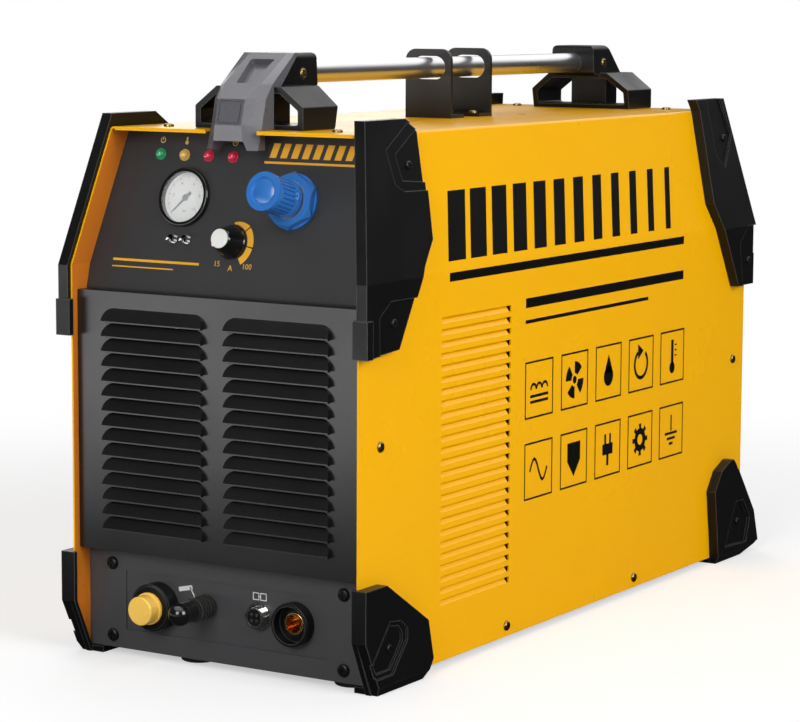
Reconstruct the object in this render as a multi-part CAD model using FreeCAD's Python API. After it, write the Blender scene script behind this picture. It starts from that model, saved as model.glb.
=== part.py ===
import FreeCAD, Part
import math
import os

from FreeCAD import Placement, Rotation, Vector

# Plasma cutter unit: a tall sheet-metal case on a steel base, carried by a tube handle.
# Millimetres. X is to the right seen from the front, Y runs from the front to the rear, Z is up.
# Everything is drawn with Y = 0 at the front edge of the side sheets and Z = 0 on the floor.
# save() then moves each piece so that the origin lies on the floor under the middle of the whole unit.

# Case: sizes that set the overall form
body_width = 272.0
body_depth = 676.0
shoulder_z = 316.0
top_z = 425.0
top_inset = 20.0
top_setback = 28.0
hem_z = 5.4
toe_z = 44.7
toe_setback = 18.0
sheet = 1.5
bend_radius = 3.0
top_lip = 2.8
fit_gap = 0.3
run_gap = 0.05

half_width = body_width / 2
rise = top_z - shoulder_z
lean = top_inset / rise
slope = top_setback / rise
slope_deg = math.degrees(math.atan(slope))

# Base tray
tray_floor_z = 6.0
tray_sheet = 2.0
tray_side_height = 34.0
tray_inset = 22.0

# Louvred middle panel
mid_y = 6.0
mid_sheet = 1.2
mid_low_z = 88.0
mid_high_z = 296.3
mid_return = 11.9
side_return = 34.0
hood_rows = 15
hood_pitch = 11.89
hood_first_z = 272.0
hood_width = 97.0
hood_column_gap = 21.0
hood_depth = 5.0
hood_height = 11.0
hood_corner = 9.0

# Sloping control panel, measured along its own face from its foot
panel_foot_y = 18.2
panel_foot_z = 297.5
panel_sheet = 2.0
panel_length = 128.6
panel_hem = 16.0

gauge_x, gauge_s = -50.3, 75.6
gauge_radius = 23.6
gauge_window = 20.2
gauge_proud = 4.0
gauge_body_radius = 22.2
gauge_body_length = 26.0
dial_thickness = 0.8
dial_depth = 5.2
needle_thickness = 0.6
needle_reach = 16.0
needle_tail = 6.0
needle_pin_radius = 0.9
lens_thickness = 1.4

regulator_x, regulator_s = 53.0, 76.4
regulator_neck_radius = 15.0
regulator_nut_af = 40.0
regulator_nut_height = 9.0
regulator_flange_radius = 22.0
regulator_spindle_radius = 4.0
regulator_knob_back = 12.0
regulator_knob_front = 43.5
regulator_knob_radius = 13.6
regulator_rim_radius = 15.1
regulator_rim_width = 4.0
regulator_ribs = 26
regulator_rib_width = 1.9
regulator_body_radius = 20.0
regulator_body_length = 46.0

current_x, current_s = 0.5, 42.3
current_knob_radius = 13.4
current_knob_top_radius = 8.8
current_knob_height = 17.0
current_cap_radius = 7.6
current_cap_height = 1.3
current_flutes = 18
pointer_rest_deg = 225.0
pot_shaft_radius = 3.0
pot_bush_radius = 4.6
pot_body_radius = 8.5
pot_body_length = 11.0

switch_xs = (-55.3, -42.6)
switch_s = 42.3
switch_bush_radius = 3.2
switch_bush_bore = 2.75
switch_bush_proud = 5.5
switch_nut_af = 8.6
switch_nut_height = 2.0
switch_lever_radius = 1.2
switch_lever_length = 8.8
switch_tilt_deg = 11.0
switch_body = (8.0, 12.0, 10.0)

lamp_xs = (-79.6, -56.3, -33.0, -9.7)
lamp_s = 109.4
lamp_radius = 3.6
lamp_collar_radius = 4.7
lamp_dome_radius = 4.1

# Lower connection panel
low_y = 19.0
low_sheet = 3.0
low_bottom_z = 6.0
field_half_width = 98.0
field_low_z = 22.0
field_high_z = 70.5
field_depth = 1.0
socket_z = 45.5

torch_x = -65.0
torch_radius = 19.0
torch_proud = 14.0
torch_bore_radius = 10.2
torch_spigot_radius = 15.5
nipple_radius = 8.0
nipple_bore = 3.0
nipple_reach = 8.0
cap_radius = 11.6
cap_flange_radius = 12.9
cap_flange_thickness = 2.0
cap_length = 13.0

post_x, post_z = -18.0, 50.5
post_radius = 9.8
post_core_radius = 8.6
post_length = 22.0
post_ribs = 5
post_stem_radius = 3.0
post_ball_radius = 9.0
post_ball_reach = 37.0

signal_x, signal_z = 32.0, 48.5
signal_flange_radius = 11.0
signal_thread_radius = 8.0
signal_bore_radius = 7.0
signal_reach = 9.0
signal_recess = 1.0
signal_pin_count = 4
signal_pin_radius = 0.9
signal_pin_circle = 3.4

work_x, work_z = 66.0, 47.0
work_radius = 17.2
work_wall = 2.5
work_proud = 10.0
work_groove = 9.0
work_contact_radius = 9.2
work_bore_radius = 6.6
work_bore_depth = 24.0
work_contact_inset = 7.0
work_contact_end = 4.0
work_spigot_length = 16.0
work_stud_radius = 5.0

# Corner guards
guard_thickness = 9.5
guard_lead = 4.0
guard_rise = 10.5
guard_skirt = 56.0
guard_block_height = 29.0
guard_lower_high_z = 85.0
guard_rear_high_z = 96.0
guard_front_run = 84.0
guard_rear_run = 70.0
guard_wrap = 3.7
guard_heel = 23.0
guard_screw_radius = 3.6

guard_top_z = top_z + guard_rise
guard_upper_low_z = shoulder_z - guard_skirt

# Handle: a tube between two brackets, and a nose on the front one
tube_radius = 8.9
tube_rise = 43.0
tube_wall = 1.5
foot_half_width = 51.0
foot_height = 17.8
foot_length = 45.0
front_foot_y = 52.0
waist_half_width = 30.5
waist_drop = 9.6
waist_overhang = 7.0
web_half_width = 18.5
web_front_gap = 10.0
web_thickness = 20.0
web_core_half_width = 14.0
bracket_wall = 5.0
bracket_sole = 4.0
head_half_width = 23.0
head_crown = 16.0
head_front_y = 61.6
head_top_y = 86.0
head_rear_y = 114.8
cup_depth = 29.0
bracket_screw_reach = 4.8
bracket_screw_x = 40.0
clamp_head = 4.0
clamp_back = 20.0
handle_shift = 9.5

tube_z = top_z + tube_rise
waist_z = tube_z - waist_drop
bracket_top_z = tube_z + head_crown
handle_mid_y = body_depth / 2 + handle_shift

# Nose: its front is a band that leans back, with a slanted face on each side of it
nose_half_width = 24.0
nose_drop = 15.0
nose_notch_drop = 8.0
nose_lap_y = 39.7
nose_pocket_depth = 5.0
nose_ledge_rise = 4.2
nose_crest_rise = 24.3
nose_brow_rise = 35.3
nose_groove = 1.4

# Hanger plates over the tube
hanger_spread = 67.0
hanger_back = 27.5
hanger_sheet = 3.0
hanger_half_width = 22.8
hanger_crown = 16.0
hanger_slot_half_width = 17.0
hanger_slot_radius = 9.9
hanger_foot = 22.0
hanger_screw_x = 12.0

hanger_ys = (handle_mid_y - hanger_back, handle_mid_y - hanger_back + hanger_spread)
hanger_top_z = tube_z + hanger_crown

# Rear panel and what it carries
rear_setback = 42.0
rear_sheet = 1.5
rear_rim = 26.0
fan_z = 215.0
fan_radius = 57.0
fan_frame_half = 60.0
fan_depth = 25.0
fan_hub_radius = 21.0
fan_blades = 7
fan_tip_gap = 1.5
fan_pitch = 105.0
fan_screw_radius = 2.15
grille_rings = (14.0, 24.0, 34.0, 44.0, 54.0)
grille_strip = 2.4
grille_stand_off = 6.5
grille_tab = 1.5
breaker_x, breaker_z = -60.0, 340.0
breaker_size = (36.0, 60.0, 50.0)
breaker_window = (38.0, 46.0)
breaker_lever_width = 28.0
breaker_swing_deg = 60.0
gland_x, gland_z = 75.0, 90.0
gland_radius = 11.0
gland_bore = 6.5
inlet_x, inlet_z = 60.0, 345.0
inlet_neck_radius = 6.0
inlet_tail_radius = 4.0
earth_x, earth_z = -80.0, 50.0
earth_radius = 4.0

# Rubber feet
foot_radius = 15.0
foot_y = 42.0
outer_foot_inset = 31.0
inner_foot_inset = 94.0
foot_lip_inset = 15.0

front_feet = ((inner_foot_inset - half_width, foot_y), (half_width - outer_foot_inset, foot_y))
rear_y = body_depth - rear_setback

# Middle of the whole unit: from the front of the post's ball to the heels of the lower rear guards
front_reach_y = low_y + field_depth - post_ball_reach - post_ball_radius
rear_reach_y = body_depth + guard_heel
middle_y = (front_reach_y + rear_reach_y) / 2


def box(x0, x1, y0, y1, z0, z1):
    return Part.makeBox(x1 - x0, y1 - y0, z1 - z0, Vector(x0, y0, z0))


def rounded(points, radii):
    """Closed wire through points, each corner rounded by its own radius (0 keeps it sharp)."""
    count = len(points)
    starts, ends, mids = [], [], []
    for i, point in enumerate(points):
        before = (points[i - 1] - point)
        after = (points[(i + 1) % count] - point)
        before.normalize()
        after.normalize()
        radius = radii[i]
        if radius <= 0:
            starts.append(point)
            ends.append(point)
            mids.append(None)
            continue
        half_angle = before.getAngle(after) / 2
        run = radius / math.tan(half_angle)
        middle = before + after
        middle.normalize()
        centre = point + middle * (radius / math.sin(half_angle))
        starts.append(point + before * run)
        ends.append(point + after * run)
        mids.append(centre - middle * radius)
    edges = []
    for i in range(count):
        if mids[i] is not None:
            edges.append(Part.Arc(starts[i], mids[i], ends[i]).toShape())
        following = starts[(i + 1) % count]
        if ends[i].distanceToPoint(following) > 1e-6:
            edges.append(Part.LineSegment(ends[i], following).toShape())
    return Part.Wire(edges)


def prism(points, radii, direction):
    if radii is None:
        radii = [0] * len(points)
    return Part.Face(rounded(points, radii)).extrude(direction)


def prism_x(yz, x0, x1, radii=None):
    return prism([Vector(x0, y, z) for y, z in yz], radii, Vector(x1 - x0, 0, 0))


def prism_y(xz, y0, y1, radii=None):
    return prism([Vector(x, y0, z) for x, z in xz], radii, Vector(0, y1 - y0, 0))


def rod_x(y, z, radius, x0, x1):
    return Part.makeCylinder(radius, x1 - x0, Vector(x0, y, z), Vector(1, 0, 0))


def rod_y(x, z, radius, y0, y1):
    return Part.makeCylinder(radius, y1 - y0, Vector(x, y0, z), Vector(0, 1, 0))


def rod_z(x, y, radius, z0, z1):
    return Part.makeCylinder(radius, z1 - z0, Vector(x, y, z0), Vector(0, 0, 1))


def ring_y(x, z, outer, inner, y0, y1):
    return rod_y(x, z, outer, y0, y1).cut(rod_y(x, z, inner, y0 - 1, y1 + 1))


def hexagon_y(x, z, across_flats, y0, y1):
    corner = across_flats / 2 / math.cos(math.pi / 6)
    turns = [math.pi / 3 * i for i in range(6)]
    return prism_y([(x + corner * math.sin(t), z + corner * math.cos(t)) for t in turns], y0, y1)


def turned(profile, x, z):
    """Solid of revolution about the line along Y through (x, z); profile holds (radius, y) points."""
    points = [Vector(x + radius, y, z) for radius, y in profile]
    face = Part.Face(rounded(points, [0] * len(points)))
    return face.revolve(Vector(x, 0, z), Vector(0, 1, 0), 360)


def joined(shapes):
    first = shapes[0]
    if len(shapes) == 1:
        return first
    return first.multiFuse(shapes[1:]).removeSplitter()


def group(shapes):
    return Part.makeCompound(shapes)


def mirrored_x(shape):
    return shape.mirror(Vector(0, 0, 0), Vector(1, 0, 0))


def on_panel(shape):
    """Move a shape drawn on an upright panel (face at Y = 0, foot at Z = 0) onto the sloping one."""
    placed = shape.copy()
    tilt = Rotation(Vector(1, 0, 0), -slope_deg)
    placed.Placement = Placement(Vector(0, panel_foot_y, panel_foot_z), tilt).multiply(placed.Placement)
    return placed


def case_half(z, inset=0.0):
    """Half the outside width of the case at height z, less an inset."""
    return half_width - inset - lean * max(0.0, z - shoulder_z)


def case_section(inset, low_z, high_z, y0, y1, radius=0.0):
    """Block with the cross-section of the case, drawn in from its sides by an inset."""
    top_half = case_half(high_z, inset)
    half = case_half(0, inset)
    points = [(-half, low_z), (half, low_z), (half, shoulder_z), (top_half, high_z),
              (-top_half, high_z), (-half, shoulder_z)]
    return prism_y(points, y0, y1, [0, 0, 2 * radius, radius, radius, 2 * radius])


def side_profile():
    """Outline of the side sheets seen from the side."""
    rear = body_depth
    return [(toe_setback, hem_z), (rear - toe_setback, hem_z), (rear, toe_z), (rear, shoulder_z),
            (rear - top_setback, top_z), (top_setback, top_z), (0, shoulder_z), (0, toe_z)]


def dome_screw_x(y, z, face_x, side, head_radius, reach):
    """Domed cross-head screw lying along X, its head on the face at face_x; side is +1 or -1."""
    height = head_radius * 0.55
    head = Part.makeCylinder(head_radius, height, Vector(0, 0, 0), Vector(1, 0, 0))
    rim = [edge for edge in head.Edges
           if edge.BoundBox.XMin > height - 0.01 and edge.Length > head_radius]
    head = head.makeFillet(height * 0.8, rim)
    reach_out, half_slot = head_radius * 0.6, head_radius * 0.13
    slot = box(height * 0.5, height + 1, -reach_out, reach_out, -half_slot, half_slot)
    cross = slot.copy()
    cross.rotate(Vector(0, 0, 0), Vector(1, 0, 0), 90)
    head = head.cut(slot).cut(cross)
    shank = Part.makeCylinder(head_radius * 0.5, reach, Vector(-reach, 0, 0), Vector(1, 0, 0))
    screw = head.fuse(shank)
    if side < 0:
        screw.rotate(Vector(0, 0, 0), Vector(0, 0, 1), 180)
    screw.translate(Vector(face_x, y, z))
    return screw


def dome_screw(point, outward, head_radius, reach):
    """Domed cross-head screw with its head seated at point and facing outward."""
    screw = dome_screw_x(0, 0, 0, 1, head_radius, reach)
    turn = Rotation(Vector(1, 0, 0), Vector(*outward))
    screw.Placement = Placement(Vector(*point), turn)
    return screw


def front_rim(shape, front):
    """The long edges of a shape that lie in its front plane."""
    return [e for e in shape.Edges if e.BoundBox.YMax < front + 0.01 and e.Length > 10]


def screw_hole(point, outward, head_radius, depth):
    """Cutter for the hole that a dome_screw passes through."""
    axis = Vector(*outward)
    axis.normalize()
    radius = head_radius * 0.5 + run_gap
    start = Vector(*point) - axis * depth
    return Part.makeCylinder(radius, depth + 1, start, axis)


# Screws: where they sit, which way they face, and the size of their heads
cover_head = 4.2
cover_reach = 5.5
cover_screw_places = [(29.9, 190.0), (body_depth - 23.1, 190.0), (body_depth / 3, 14.5),
                      (body_depth * 0.672, 14.5)]
top_screw_places = [(x, y) for x in (-80.0, 80.0) for y in (56.0, body_depth - 59.0)]
low_screw_places = [(-111.0, 75.0), (-111.0, 16.0), (111.0, 75.0), (111.0, 16.0)]
low_head = 5.2


def cover_screws_on(side):
    return [((side * half_width, y, z), (side, 0, 0)) for y, z in cover_screw_places]


# Side louvres in the cover
side_rows = 25
side_pitch = 9.36
side_first_z = shoulder_z - 41.1
side_y0, side_y1 = 118.0, 229.0
side_window_height = 5.0
side_blade_depth = 3.5
side_blade_gap = 3.5


def side_louvres(side):
    """Windows to cut and blades to add, pressed in from one side sheet."""
    outer, inner = half_width, half_width - sheet
    windows, blades = [], []
    for row in range(side_rows):
        low = side_first_z - row * side_pitch
        high = low + side_window_height
        windows.append(box(inner - 1, outer + 1, side_y0, side_y1, low, high))
        section = [(outer, low), (inner, low), (inner - side_blade_depth, high),
                   (outer - side_blade_depth, high)]
        blade = prism_y(section, side_y0, side_y1 - side_blade_gap)
        cheek = prism_y([(outer, low), (outer, high), (outer - side_blade_depth, high)], side_y0,
                        side_y0 + sheet)
        blades.append(blade.fuse(cheek))
    if side < 0:
        windows = [mirrored_x(shape) for shape in windows]
        blades = [mirrored_x(shape) for shape in blades]
    return windows, blades


def make_cover():
    """Top and both sides folded from one sheet, open to the front, the rear and below."""
    outer = case_section(0, hem_z - 5, top_z, -5, body_depth + 5, bend_radius)
    inner = case_section(sheet, hem_z - 6, top_z - sheet, -6, body_depth + 6, bend_radius - sheet)
    profile = prism_x(side_profile(), -half_width - 1, half_width + 1)
    shell = outer.cut(inner).common(profile)
    lip_half = case_half(top_z, sheet) - 2
    lips = []
    for near, far in ((top_setback, top_setback + sheet),
                      (body_depth - top_setback - sheet, body_depth - top_setback)):
        lips.append(box(-lip_half, lip_half, near, far, top_z - top_lip, top_z - sheet / 2))
    windows, blades = [], []
    for side in (-1, 1):
        cut, add = side_louvres(side)
        windows += cut
        blades += add
    holes = []
    for side in (-1, 1):
        holes += [screw_hole(p, d, cover_head, 4) for p, d in cover_screws_on(side)]
    holes += [screw_hole((x, y, top_z), (0, 0, 1), cover_head, 4) for x, y in top_screw_places]
    holes += [screw_hole(p, d, cover_head, 8) for p, d in hanger_screw_places()]
    foot_holes = [screw_hole(p, d, cover_head, bracket_screw_reach) for p, d in bracket_screw_places()]
    holes += foot_holes + [to_rear(hole) for hole in foot_holes]
    guard_holes = [screw_hole(p, d, guard_screw_radius, 30) for p, d in guard_screw_places()]
    holes += guard_holes + [mirrored_x(hole) for hole in guard_holes]
    notch_half = nose_half_width + fit_gap
    notch = box(-notch_half, notch_half, 0, nose_lap_y + fit_gap, top_z - 2 * nose_drop, top_z + 5)
    shell = shell.cut(windows + holes)
    return shell.multiFuse(blades + lips).cut(notch)


def make_zinc_screws():
    """Bright screws: along the cover, on the hanger feet and in the handle brackets."""
    screws = []
    for side in (-1, 1):
        screws += [dome_screw(p, d, cover_head, cover_reach) for p, d in cover_screws_on(side)]
    screws += [dome_screw((x, y, top_z), (0, 0, 1), cover_head, cover_reach) for x, y in top_screw_places]
    screws += [dome_screw(p, d, cover_head, 7.5) for p, d in hanger_screw_places()]
    return group(screws + handle_screws())


def make_base_tray():
    """Folded steel tray that everything inside stands on."""
    inner_half = half_width - sheet
    y0, y1 = tray_inset, body_depth - tray_inset
    floor_z = tray_floor_z
    tray = box(-inner_half, inner_half, y0, y1, floor_z, floor_z + tray_sheet)
    side_low = floor_z + tray_sheet
    walls = []
    for side in (-1, 1):
        x0 = inner_half - tray_sheet if side > 0 else -inner_half
        walls.append(box(x0, x0 + tray_sheet, y0 + 20, y1 - 20, side_low, side_low + tray_side_height))
    tray = joined([tray] + walls)
    holes = [screw_hole(p, d, cover_head, 8) for side in (-1, 1) for p, d in cover_screws_on(side)]
    return tray.cut(holes)


def rubber_foot(x, y):
    """Rubber disc with a rounded lower rim and a stem up through the tray."""
    disc = rod_z(x, y, foot_radius, 0, tray_floor_z)
    rim = [edge for edge in disc.Edges if edge.BoundBox.ZMax < 0.01 and edge.Length > foot_radius]
    return disc.makeFillet(2.0, rim)


def make_feet():
    feet = [rubber_foot(x, y) for x, y in front_feet]
    feet += [rubber_foot(-x, body_depth - y) for x, y in front_feet]
    return group(feet)


def make_socket_panel():
    """Black lower front panel with a shallow field that the sockets stand in."""
    inner_half = half_width - sheet
    panel = box(-inner_half, inner_half, low_y, low_y + low_sheet, low_bottom_z, mid_low_z)
    field = prism_y([(-field_half_width, field_low_z), (field_half_width, field_low_z),
                     (field_half_width, field_high_z), (-field_half_width, field_high_z)],
                    low_y - 1, low_y + field_depth, [1.0] * 4)
    flange_half = inner_half - tray_sheet - fit_gap
    flange = box(-flange_half, flange_half, low_y + low_sheet, tray_inset + 30,
                 tray_floor_z + tray_sheet, tray_floor_z + 2 * tray_sheet)
    panel = panel.cut(field).fuse(flange)
    back = low_y + low_sheet + 1
    return panel.cut(socket_holes(low_y - 1, back) + low_screw_holes(back))


def socket_holes(y0, y1):
    seats = [(torch_x, socket_z, torch_spigot_radius), (post_x, post_z, post_stem_radius + 2),
             (signal_x, signal_z, signal_thread_radius), (work_x, work_z, work_radius - work_wall)]
    return [rod_y(x, z, radius + run_gap, y0, y1) for x, z, radius in seats]


def low_screw_holes(y1):
    return [rod_y(x, z, low_head * 0.5 + run_gap, low_y - 1, y1) for x, z in low_screw_places]


def low_screws():
    """Screws at the corners of the lower panel."""
    return [dome_screw((x, low_y, z), (0, -1, 0), low_head, low_sheet + 3) for x, z in low_screw_places]


def hood_centres():
    offset = hood_column_gap / 2 + hood_width / 2
    return [(x, hood_first_z - row * hood_pitch) for x in (-offset, offset) for row in range(hood_rows)]


def hood(x, low_z, wall, back):
    """One pressed hood: a wedge with rounded upper corners; wall shrinks it for the hollow inside."""
    front = mid_y - hood_depth + wall
    crest = low_z + hood_height - 1.2 * wall
    bend = 1.2
    start = low_z if wall == 0 else low_z - 1
    wedge = prism_x([(back, start), (front, start), (front, low_z + bend), (mid_y - 0.6, crest),
                     (back, crest)], x - hood_width, x + hood_width, [0, 0, 1.5, 0, 0])
    half = hood_width / 2 - wall
    face = prism_y([(x - half, start), (x + half, start), (x + half, crest), (x - half, crest)],
                   mid_y - hood_depth - 1, back + 1, [0, 0, hood_corner - wall, hood_corner - wall])
    return wedge.common(face)


def make_louvre_panel():
    """Satin grey middle panel: two columns of pressed hoods that are open below."""
    inner_half = half_width - sheet - fit_gap
    plate = box(-inner_half, inner_half, mid_y, mid_y + mid_sheet, mid_low_z, mid_high_z)
    returns = [box(-inner_half, inner_half, mid_y, mid_y + mid_return, z0, z0 + mid_sheet)
               for z0 in (mid_low_z, mid_high_z - mid_sheet)]
    holes = []
    for side in (-1, 1):
        low, high = mid_low_z + mid_return, panel_foot_z - panel_hem - 4
        edge = box(inner_half - mid_sheet, inner_half, mid_y, mid_y + side_return, low, high)
        returns.append(edge if side > 0 else mirrored_x(edge))
        holes += [screw_hole(p, d, cover_head, 8) for p, d in cover_screws_on(side)]
    guard_holes = [screw_hole(p, d, guard_screw_radius, 30) for p, d in guard_screw_places()]
    holes += guard_holes + [mirrored_x(hole) for hole in guard_holes]
    hoods = [hood(x, z, 0, mid_y + mid_sheet) for x, z in hood_centres()]
    hollows = [hood(x, z, mid_sheet, mid_y + mid_sheet + 1) for x, z in hood_centres()]
    return joined([plate] + returns + hoods).cut(hollows + holes)


def make_control_panel():
    """Charcoal upper panel, leaning back with the case, cut for each control."""
    slab = on_panel(box(-half_width, half_width, 0, panel_sheet, 0, panel_length))
    room = case_section(sheet, panel_foot_z - 20, top_z - sheet, 0, body_depth, bend_radius - sheet)
    seats = [(gauge_x, gauge_s, gauge_body_radius), (current_x, current_s, pot_bush_radius),
             (regulator_x, regulator_s, regulator_neck_radius)]
    seats += [(x, switch_s, switch_bush_radius) for x in switch_xs]
    seats += [(x, lamp_s, lamp_radius) for x in lamp_xs]
    holes = [on_panel(rod_y(x, s, radius + run_gap, -1, panel_sheet + 1)) for x, s, radius in seats]
    hem = box(-half_width + sheet, half_width - sheet, panel_foot_y, panel_foot_y + panel_sheet,
              panel_foot_z - panel_hem, panel_foot_z + 0.5)
    return slab.common(room).cut(holes).fuse(hem)


def make_gauge():
    """Pressure gauge: black case, white dial, needle on its pin, and a flat lens."""
    x, s = gauge_x, gauge_s
    rim = rod_y(x, s, gauge_radius, -gauge_proud, 0)
    rim = rim.makeFillet(1.6, front_rim(rim, -gauge_proud))
    back = rod_y(x, s, gauge_body_radius, 0, gauge_body_length)
    stem = rod_y(x, s, 5.0, gauge_body_length, gauge_body_length + 14)
    case = joined([rim, back, stem])
    dial_face = -gauge_proud + dial_depth
    case = case.cut(rod_y(x, s, gauge_window, -gauge_proud - 1, dial_face + dial_thickness))
    pin_hole = rod_y(x, s, needle_pin_radius + run_gap, dial_face - 1, dial_face + 4)
    case = case.cut(pin_hole)
    dial = rod_y(x, s, gauge_window, dial_face, dial_face + dial_thickness).cut(pin_hole)
    plane = dial_face - 1.2
    turn = math.radians(225)
    along = Vector(math.sin(turn), 0, math.cos(turn))
    across = Vector(math.cos(turn), 0, -math.sin(turn))
    hub = Vector(x, plane, s)
    tip = hub + along * needle_reach
    tail = hub - along * needle_tail
    blade = prism([tail - across * 1.3, hub - across * 0.9, tip - across * 0.25, tip + across * 0.25,
                   hub + across * 0.9, tail + across * 1.3], None, Vector(0, needle_thickness, 0))
    boss = rod_y(x, s, 2.4, plane - 0.6, plane + needle_thickness)
    pin = rod_y(x, s, needle_pin_radius, plane, dial_face + 3)
    needle = joined([blade, boss, pin])
    lens_face = -gauge_proud + 0.6
    lens = rod_y(x, s, gauge_window, lens_face, lens_face + lens_thickness)
    return {"gauge_case": on_panel(case), "gauge_dial": on_panel(dial),
            "gauge_needle": on_panel(needle), "gauge_lens": on_panel(lens)}


def make_regulator():
    """Air regulator: body and neck behind the panel, ring nut in front, spindle and ribbed knob."""
    x, s = regulator_x, regulator_s
    bore = rod_y(x, s, regulator_spindle_radius + run_gap, -regulator_nut_height - 5, 24)
    body = rod_y(x, s, regulator_body_radius, panel_sheet, panel_sheet + regulator_body_length)
    bowl = rod_z(x, panel_sheet + regulator_body_length / 2, 14, s - 62, s - 10)
    neck = rod_y(x, s, regulator_neck_radius, -regulator_nut_height - 1.5, panel_sheet)
    body = joined([body, bowl, neck]).cut(bore)
    flange = rod_y(x, s, regulator_flange_radius, -3, 0)
    nut = hexagon_y(x, s, regulator_nut_af, -regulator_nut_height, -3)
    cone = turned([(0, -regulator_nut_height), (regulator_nut_af / 2, -regulator_nut_height),
                   (regulator_nut_af / 2 + 4, -3), (0, -3)], x, s)
    nut = flange.fuse(nut.common(cone)).cut(rod_y(x, s, regulator_neck_radius, -20, 1))
    spindle = rod_y(x, s, regulator_spindle_radius, -regulator_knob_front + 8, 20)
    back, front = -regulator_knob_back, -regulator_knob_front
    rim, waist = regulator_rim_radius, regulator_knob_radius
    recess = rim - regulator_rim_width
    profile = [(0, back), (waist + 1.2, back), (waist + 1.2, back - 5), (waist, back - 7),
               (waist, front + 9), (rim, front + 3), (rim, front), (recess, front),
               (recess - 0.6, front + 1.6), (0, front + 1.6)]
    knob = turned(profile, x, s)
    curve = 2 * rim
    dome = Part.makeSphere(curve, Vector(x, front + curve + 0.2, s))
    dome = dome.common(rod_y(x, s, recess - 1.4, front - 1, front + 4))
    ribs = []
    for i in range(regulator_ribs):
        turn = 2 * math.pi * i / regulator_ribs
        half = regulator_rib_width / 2
        rib = box(-half, half, front + 2.4, back - 5.5, waist - 0.6, waist + 0.9)
        rib.rotate(Vector(0, 0, 0), Vector(0, 1, 0), math.degrees(turn))
        rib.translate(Vector(x, 0, s))
        ribs.append(rib)
    knob = knob.multiFuse([dome] + ribs)
    knob = knob.cut(rod_y(x, s, regulator_spindle_radius + run_gap, front + 6, back + 1))
    return {"regulator_body": on_panel(body), "regulator_nut": on_panel(nut),
            "regulator_spindle": on_panel(spindle), "regulator_knob": on_panel(knob)}


def potentiometer():
    """Current potentiometer behind the panel, with the bush that its shaft turns in."""
    x, s = current_x, current_s
    body = rod_y(x, s, pot_body_radius, panel_sheet, panel_sheet + pot_body_length)
    bush = rod_y(x, s, pot_bush_radius, -4, panel_sheet)
    bore = rod_y(x, s, pot_shaft_radius + run_gap, -8, panel_sheet + pot_body_length - 2)
    return on_panel(body.fuse(bush).cut(bore))


def make_current_knob():
    """Fluted current knob on its shaft, and the white cap with the pointer."""
    x, s = current_x, current_s
    top = -current_knob_height
    shaft = rod_y(x, s, pot_shaft_radius, top + 3, panel_sheet + pot_body_length - 3)
    back = -2 * fit_gap
    knob = turned([(0, back), (current_knob_radius, back), (current_knob_radius, -2.5),
                   (current_knob_radius - 0.6, -3.2), (current_knob_top_radius, top + 1.2),
                   (current_knob_top_radius - 0.9, top), (0, top)], x, s)
    flutes = []
    for i in range(current_flutes):
        turn = 2 * math.pi * i / current_flutes
        reach = current_knob_radius + 0.55
        start = Vector(x + reach * math.sin(turn), -3.4, s + reach * math.cos(turn))
        reach = current_knob_top_radius + 0.45
        end = Vector(x + reach * math.sin(turn), top - 1, s + reach * math.cos(turn))
        flutes.append(Part.makeCylinder(1.3, start.distanceToPoint(end), start, end - start))
    hollow = rod_y(x, s, pot_bush_radius + 1.0, -6, 1)
    seat = rod_y(x, s, pot_shaft_radius, top + 3, 1)
    knob = knob.cut(flutes + [hollow, seat])
    cap_face = top - current_cap_height
    cap = rod_y(x, s, current_cap_radius, cap_face, top)
    cap = cap.makeFillet(0.6, front_rim(cap, cap_face))
    reach = current_cap_radius
    pointer = box(-1.0, 1.0, cap_face + 0.3, top, reach - 1.5, reach + 0.7)
    pointer.rotate(Vector(0, 0, 0), Vector(0, 1, 0), pointer_rest_deg)
    pointer.translate(Vector(x, 0, s))
    return {"current_knob": on_panel(group([knob, shaft])),
            "current_knob_cap": on_panel(cap.fuse(pointer))}


def make_toggle_switches():
    """Two miniature toggle switches, each a body with a threaded bush and nut, and their levers."""
    switches, levers = [], []
    wide, tall, deep = switch_body
    throat = 0.9 * switch_bush_bore
    for x in switch_xs:
        low, high = switch_s - tall / 2, switch_s + tall / 2
        body = box(x - wide / 2, x + wide / 2, panel_sheet, panel_sheet + deep, low, high)
        bush = rod_y(x, switch_s, switch_bush_radius, -switch_bush_proud, panel_sheet)
        nut = hexagon_y(x, switch_s, switch_nut_af, -switch_nut_height, 0)
        mouth = Part.makeCone(throat, switch_bush_bore, switch_bush_proud + 0.2, Vector(x, 0, switch_s),
                              Vector(0, -1, 0))
        bore = rod_y(x, switch_s, throat, -0.1, panel_sheet + 4)
        switches.append(joined([body, bush, nut]).cut([mouth, bore]))
        tip_radius = switch_lever_radius + 0.5
        stem = Part.makeCone(switch_lever_radius, tip_radius, switch_lever_length, Vector(x, 0, switch_s),
                             Vector(0, -1, 0))
        ball = Part.makeSphere(1.9, Vector(x, 0, switch_s))
        tip = Part.makeSphere(tip_radius, Vector(x, -switch_lever_length, switch_s))
        lever = joined([stem, ball, tip])
        lever.rotate(Vector(x, 0, switch_s), Vector(1, 0, 0), switch_tilt_deg)
        levers.append(lever)
    return {"toggle_switches": on_panel(group(switches)), "toggle_lever_left": on_panel(levers[0]),
            "toggle_lever_right": on_panel(levers[1])}


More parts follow.
